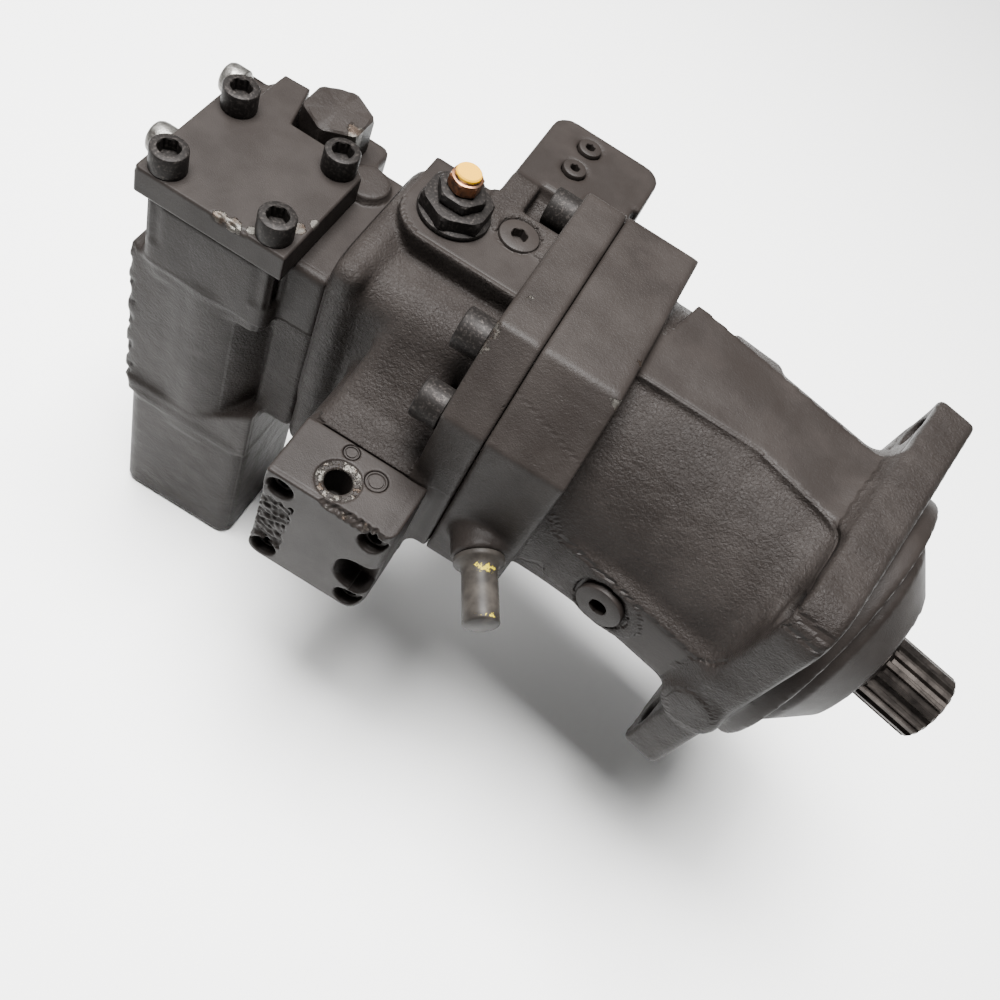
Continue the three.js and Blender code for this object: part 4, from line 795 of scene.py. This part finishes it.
screw_black = worn_black("black_screw_steel")
screws = []
for k, (at_w, at_z) in enumerate(FLANGE_SCREWS):
    screws.append((f"flange_screw_{k + 1}", (PORT_FLANGE_A - 0.3, at_w, at_z), (-1, 0, 0),
                   (10.5, 14, 7, 49)))
for k, (at_a, at_w) in enumerate(cover_screws):
    screws.append((f"cover_screw_{k + 1}", (at_a, at_w, COVER_TOP + 0.3), (0, 0, 1), (9, 12, 6, 40)))
for k, (at_a, at_z) in enumerate(CONTROL_SCREWS):
    screws.append((f"control_screw_{k + 1}", (at_a, -112.6, at_z), (0, -1, 0), (6.5, 8, 4, 36)))
for node, seat, direction, sizes in screws:
    screw = turned_piece(node + "_turned", cap_screw(*sizes), turned_place(seat, direction))
    screw.data.materials.append(screw_black)
    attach(screw, "casing")
    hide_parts(node)

# ---------- rear screws of the brake valve ----------
# Two larger screws come in from the valve's rear. Their heads were never painted: bare
# zinc-grey steel, rounded and dented by handling.
bare_steel, tree, shader = nodes_of("bare_grey_steel", metallic=0.85)
scuffs = ramp(tree, noise(tree, 330, 5, 0.7, 0.6), 0.4, 0.7)
tree.links.new(colours(tree, scuffs, (0.15, 0.145, 0.135), (0.045, 0.040, 0.036)),
               shader.inputs["Base Color"])
tree.links.new(maths(tree, "ADD", maths(tree, "MULTIPLY", noise(tree, 240, 3), 0.3), 0.25),
               shader.inputs["Roughness"])
roughen(tree, shader, noise(tree, 260, 3), 0.6, 0.0006)
for k, at_w in enumerate(REAR_SCREWS_W):
    stations = [(6.5, 0), (6.8, 4.6, SHARP), (11.4, 4.9, SHARP), (12, 5.6), (11.9, 6.6), (11.0, 7.9),
                (9.2, 8.8), (7, 9), (1, 9), (0.2, 8.2), (0.2, 6), (-29, 6), (-30, 5),
                (-30, 0)]
    screw = turned_piece(f"valve_rear_screw_{k + 1}_turned", stations,
                         turned_place((-296, at_w, REAR_SCREWS_Z), (-1, 0, 0)), sharp=50)
    screw.data.materials.append(bare_steel)
    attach(screw, "casing")
    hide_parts(f"valve_rear_screw_{k + 1}")

# ---------- hex plug of the brake valve ----------
# A big forged hex plug closes the cross bore. Its corners are chamfered and one is chipped.
plug = turned_piece("valve_hex_plug_forged", [
    (22.3, 0), (22.3, 15.2), (21.2, 16, 17.6), (18.5, 16, 18.5), (1.2, 16, 18.5), (0.3, 16, 17.4),
    (0.3, 12), (-19, 12), (-20, 11), (-20, 0)], 
    turned_place((*HEX_PLUG_AT, VALVE_FACE), (0, 0, 1)), sharp=25)
write_number(plug, "machined", np.full(len(plug.data.vertices), 0.6))
corners = vertices_of(plug)
chip_x, chip_y = to_shaft(np.array([-222.0]), np.array([30.0]))
from_chip = np.hypot(corners[:, 0] - chip_x, corners[:, 1] - chip_y)
write_number(plug, "bare", 0.9 * (1 - (from_chip / 9) ** 2))
plug.data.materials.append(cast_paint)
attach(plug, "casing")
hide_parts("valve_hex_plug")

# ---------- relief valve ----------
# A screwed-in cartridge with a round collar and a hexagon, a lock nut, and a copper-plated cap
# nut over the adjuster. A dab of yellow paint seals the cap nut.
RELIEF_SEAT = (*RELIEF_AT, PAD_TOP + 0.3)
cartridge = turned_piece("relief_cartridge_turned", [
    (27, 0), (27, 4.6), (26.5, 5), (10.5, 5), (10.5, 14), (10, 16, 16.9), (8.6, 16, 18.3),
    (3.0, 16, 18.4), (2.6, 17.2), (2.4, 18.2), (1.6, 18.5), (0.4, 18.5), (0, 18), (0, 12),
    (-25, 12), (-26, 11), (-26, 0)], turned_place(RELIEF_SEAT, (0, 0, 1)), sharp=25)
cartridge.data.materials.append(screw_black)
lock_nut = turned_piece("relief_lock_nut_turned", [
    (10.8, 5.3), (10.8, 9.8), (11.3, 11, 11.6), (12, 11, 12.6), (15.6, 11, 12.6), (16.3, 11, 11.6),
    (16.8, 9.8), (16.8, 5.3), (10.8, 5.3)], turned_place(RELIEF_SEAT, (0.02, 0, 1)), sharp=25)
lock_nut.data.materials.append(screw_black)
cap_nut = turned_piece("relief_cap_nut_turned", [
    (24.3, 0), (24.3, 5.2), (17.1, 5.3), (17.1, 6.8), (17.6, 7.5, 7.9), (18.4, 7.5, 8.6),
    (23.0, 7.5, 8.6), (23.9, 7.5, 7.7), (24.2, 6.6), (26.4, 6.4), (27.1, 5.8), (27.1, 0)],
    turned_place(RELIEF_SEAT, (0, 0, 1)), sharp=25)
copper, tree, shader = nodes_of("copper_plate_and_yellow_seal")
place = tree.nodes.new("ShaderNodeTexCoord")
parts = tree.nodes.new("ShaderNodeSeparateXYZ")
tree.links.new(place.outputs["Object"], parts.inputs["Vector"])
level = maths(tree, "ADD", parts.outputs["Z"], maths(tree, "MULTIPLY", noise(tree, 500, 3), 0.003))
yellow = ramp(tree, level, 0.0952, 0.0956)
tarnish = ramp(tree, noise(tree, 260, 4), 0.4, 0.65)
plated = colours(tree, tarnish, (0.30, 0.135, 0.07), (0.10, 0.062, 0.045))
tree.links.new(colours(tree, yellow, plated, (0.46, 0.235, 0.008)), shader.inputs["Base Color"])
tree.links.new(maths(tree, "SUBTRACT", 0.9, maths(tree, "MULTIPLY", yellow, 0.9)),
               shader.inputs["Metallic"])
tree.links.new(maths(tree, "ADD", 0.32, maths(tree, "MULTIPLY", yellow, 0.2)),
               shader.inputs["Roughness"])
cap_nut.data.materials.append(copper)
for piece, node, finish in ((cartridge, "relief_cartridge", "screw_black"),
                            (lock_nut, "relief_lock_nut", "screw_black"),
                            (cap_nut, "relief_cap_nut", "copper_nut")):
    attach(piece, "casing")
    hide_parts(node)

# ---------- screwed plugs ----------
# Hexagon-socket plugs close the gauge port, two galleries of the far block and the drain port.
# They were painted with the castings.


def socket_plug(head_r, head_height, thread_r, reach, key, key_depth):
    """Stations of a plug with a flat head: up the key's socket, over the rim, down the head
    and down the thread to its tip."""
    return [(head_height - key_depth, 0), (head_height - key_depth + 0.2, key * 0.96, SHARP),
            (head_height - 0.4, key, SHARP), (head_height, key + 0.45), (head_height, head_r - 0.8),
            (head_height - 0.3, head_r - 0.25), (head_height - 0.8, head_r), (0, head_r),
            (0, thread_r), (-reach, thread_r), (-reach, 0)]


back = np.array([[np.cos(BEND), np.sin(BEND)], [-np.sin(BEND), np.cos(BEND)]])
drain_a, drain_w = back @ (DRAIN_X - BEND_X, SIDE_PAD_Y + 0.7)
plugs = [
    ("gauge_port_plug", (*GAUGE_AT, PAD_TOP - 3), (0, 0, 1), (10.5, 3.1, 9, 14, 4.1, 5.5)),
    ("port_block_plug_1", (*BLOCK_PLUGS[0], PAD_TOP - 1.6), (0, 0, 1), (6.5, 3.1, 6.2, 8, 2.5, 4.5)),
    ("port_block_plug_2", (*BLOCK_PLUGS[1], PAD_TOP - 1.6), (0, 0, 1), (6.5, 3.1, 6.2, 8, 2.5, 4.5)),
    ("drain_plug", (drain_a, drain_w, DRAIN_Z), (-np.sin(BEND), -np.cos(BEND), 0),
     (13, 4, 8, 15, 4.6, 6)),
]
for node, seat, direction, sizes in plugs:
    plug = turned_piece(node + "_turned", socket_plug(*sizes), turned_place(seat, direction))
    write_number(plug, "machined", np.full(len(plug.data.vertices), 0.9))
    write_number(plug, "bare", np.zeros(len(plug.data.vertices)))
    plug.data.materials.append(cast_paint)
    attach(plug, "casing")
    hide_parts(node)

# ---------- pressed plugs of the control block ----------
# Two expander plugs with a ring groove where the ball was pushed in.
for k, (at_a, at_w, r) in enumerate(CONTROL_PLUGS):
    node = f"control_top_plug_{k + 1}"
    plug = turned_piece(node + "_turned", [
        (3.7, 0), (3.7, r * 0.62), (3.1, r * 0.68), (3.1, r * 0.76), (3.8, r * 0.84),
        (3.8, r * 0.95), (3.4, r), (-3, r), (-3, 0)], turned_place((at_a, at_w, 0), (0, 0, 1)))
    write_number(plug, "machined", np.full(len(plug.data.vertices), 0.9))
    write_number(plug, "bare", np.zeros(len(plug.data.vertices)))
    plug.data.materials.append(cast_paint)
    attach(plug, "casing")
    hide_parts(node)

# ---------- stop screw cap ----------
# A long cap over the minimum-angle stop screw: a collar, a waisted pin and a thicker end,
# painted dark, with two dabs of yellow marking paint.
cap_direction = (np.sin(STOP_TURN), -np.cos(STOP_TURN), 0)
stop_cap = turned_piece("stop_screw_cap_turned", [
    (35, 0), (35, 8.0), (34.5, 8.9), (33.6, 9.3), (20, 9.2), (8, 9.0),
    (5, 9.6), (3.6, 10.8), (3, 12.4), (2.2, 13), (0.4, 13), (0, 12.5), (0, 5.9),
    (-22, 5.9), (-22, 0)], turned_place((STOP_A, STOP_W, STOP_Z), cap_direction), sharp=40)
cap_paint, tree, shader = nodes_of("dark_paint_with_yellow_marks")
frayed = maths(tree, "MULTIPLY", noise(tree, 420, 4, 0.7), 0.8)
dab = ramp(tree, maths(tree, "ADD", attribute(tree, "mark"), frayed), 0.92, 0.97)
dust = ramp(tree, noise(tree, 120, 4), 0.4, 0.7)
dark = colours(tree, dust, (0.016, 0.014, 0.0125), (0.034, 0.030, 0.026))
tree.links.new(colours(tree, dab, dark, (0.36, 0.28, 0.012)), shader.inputs["Base Color"])
tree.links.new(maths(tree, "ADD", maths(tree, "MULTIPLY", noise(tree, 90, 3), 0.3), 0.28),
               shader.inputs["Roughness"])
corners = vertices_of(stop_cap)
cap_x, cap_y = to_shaft(np.array([STOP_A]), np.array([STOP_W]))
cap_turn = BEND + STOP_TURN
along = (corners[:, 0] - cap_x) * np.sin(cap_turn) - (corners[:, 1] - cap_y) * np.cos(cap_turn)
upper = np.clip((corners[:, 2] - STOP_Z) / 9, 0, 1)
write_number(stop_cap, "mark", upper * np.maximum(1 - (np.abs(along - 11) / 9) ** 2,
                                                  1 - (np.abs(along - 31) / 5) ** 2) * 0.72)
stop_cap.data.materials.append(cap_paint)
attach(stop_cap, "casing")
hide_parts("stop_screw_cap")

# ---------- shaft and rotating group ----------
# The splined shaft is ground steel, dark with old oil where it shows. Behind it, sealed in the
# housing, run the bearings, the cylinder block and the pistons. They keep their imported shapes;
# the shaft, the retaining plate and the cylinder block also get broken edges.


def oiled_steel(name, light, dark, low):
    """Ground steel under an oil film: two greys mixed by a noise, with a gloss that varies."""
    material, tree, shader = nodes_of(name, metallic=0.9)
    film = ramp(tree, noise(tree, 90, 4, 0.6), 0.35, 0.7)
    tree.links.new(colours(tree, film, light, dark), shader.inputs["Base Color"])
    tree.links.new(maths(tree, "ADD", maths(tree, "MULTIPLY", noise(tree, 400, 3), 0.2), low),
                   shader.inputs["Roughness"])
    return material


shaft_steel = oiled_steel("dark_oiled_steel", (0.060, 0.052, 0.047), (0.016, 0.014, 0.013), 0.3)
ground_steel = oiled_steel("ground_steel", (0.42, 0.42, 0.41), (0.30, 0.30, 0.29), 0.2)
lens_bronze = oiled_steel("bearing_bronze", (0.42, 0.27, 0.10), (0.30, 0.18, 0.07), 0.25)
seal_rubber, tree, shader = nodes_of("seal_rubber", roughness=0.7)
bloom = ramp(tree, noise(tree, 300, 3), 0.4, 0.7)
tree.links.new(colours(tree, bloom, (0.010, 0.010, 0.010), (0.02, 0.02, 0.02)),
               shader.inputs["Base Color"])
for name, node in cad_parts.items():
    if node.hide_render:
        continue
    finish = ground_steel
    if name == "drive_shaft":
        finish = shaft_steel
    elif name == "control_lens":
        finish = lens_bronze
    elif name == "shaft_seal":
        finish = seal_rubber
    elif name == "control_end_plug":
        finish = screw_black
    node.data.materials.clear()
    node.data.materials.append(finish)
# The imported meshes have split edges, so each is welded before its edges are broken.
for name in ("drive_shaft", "retaining_plate", "cylinder_block"):
    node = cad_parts[name]
    weld = node.modifiers.new("weld", "WELD")
    weld.merge_threshold = 0.00001
    bevel = node.modifiers.new("broken_edges", "BEVEL")
    bevel.width = 0.0004
    bevel.segments = 2
    bevel.limit_method = "ANGLE"
    bevel.angle_limit = np.radians(32)
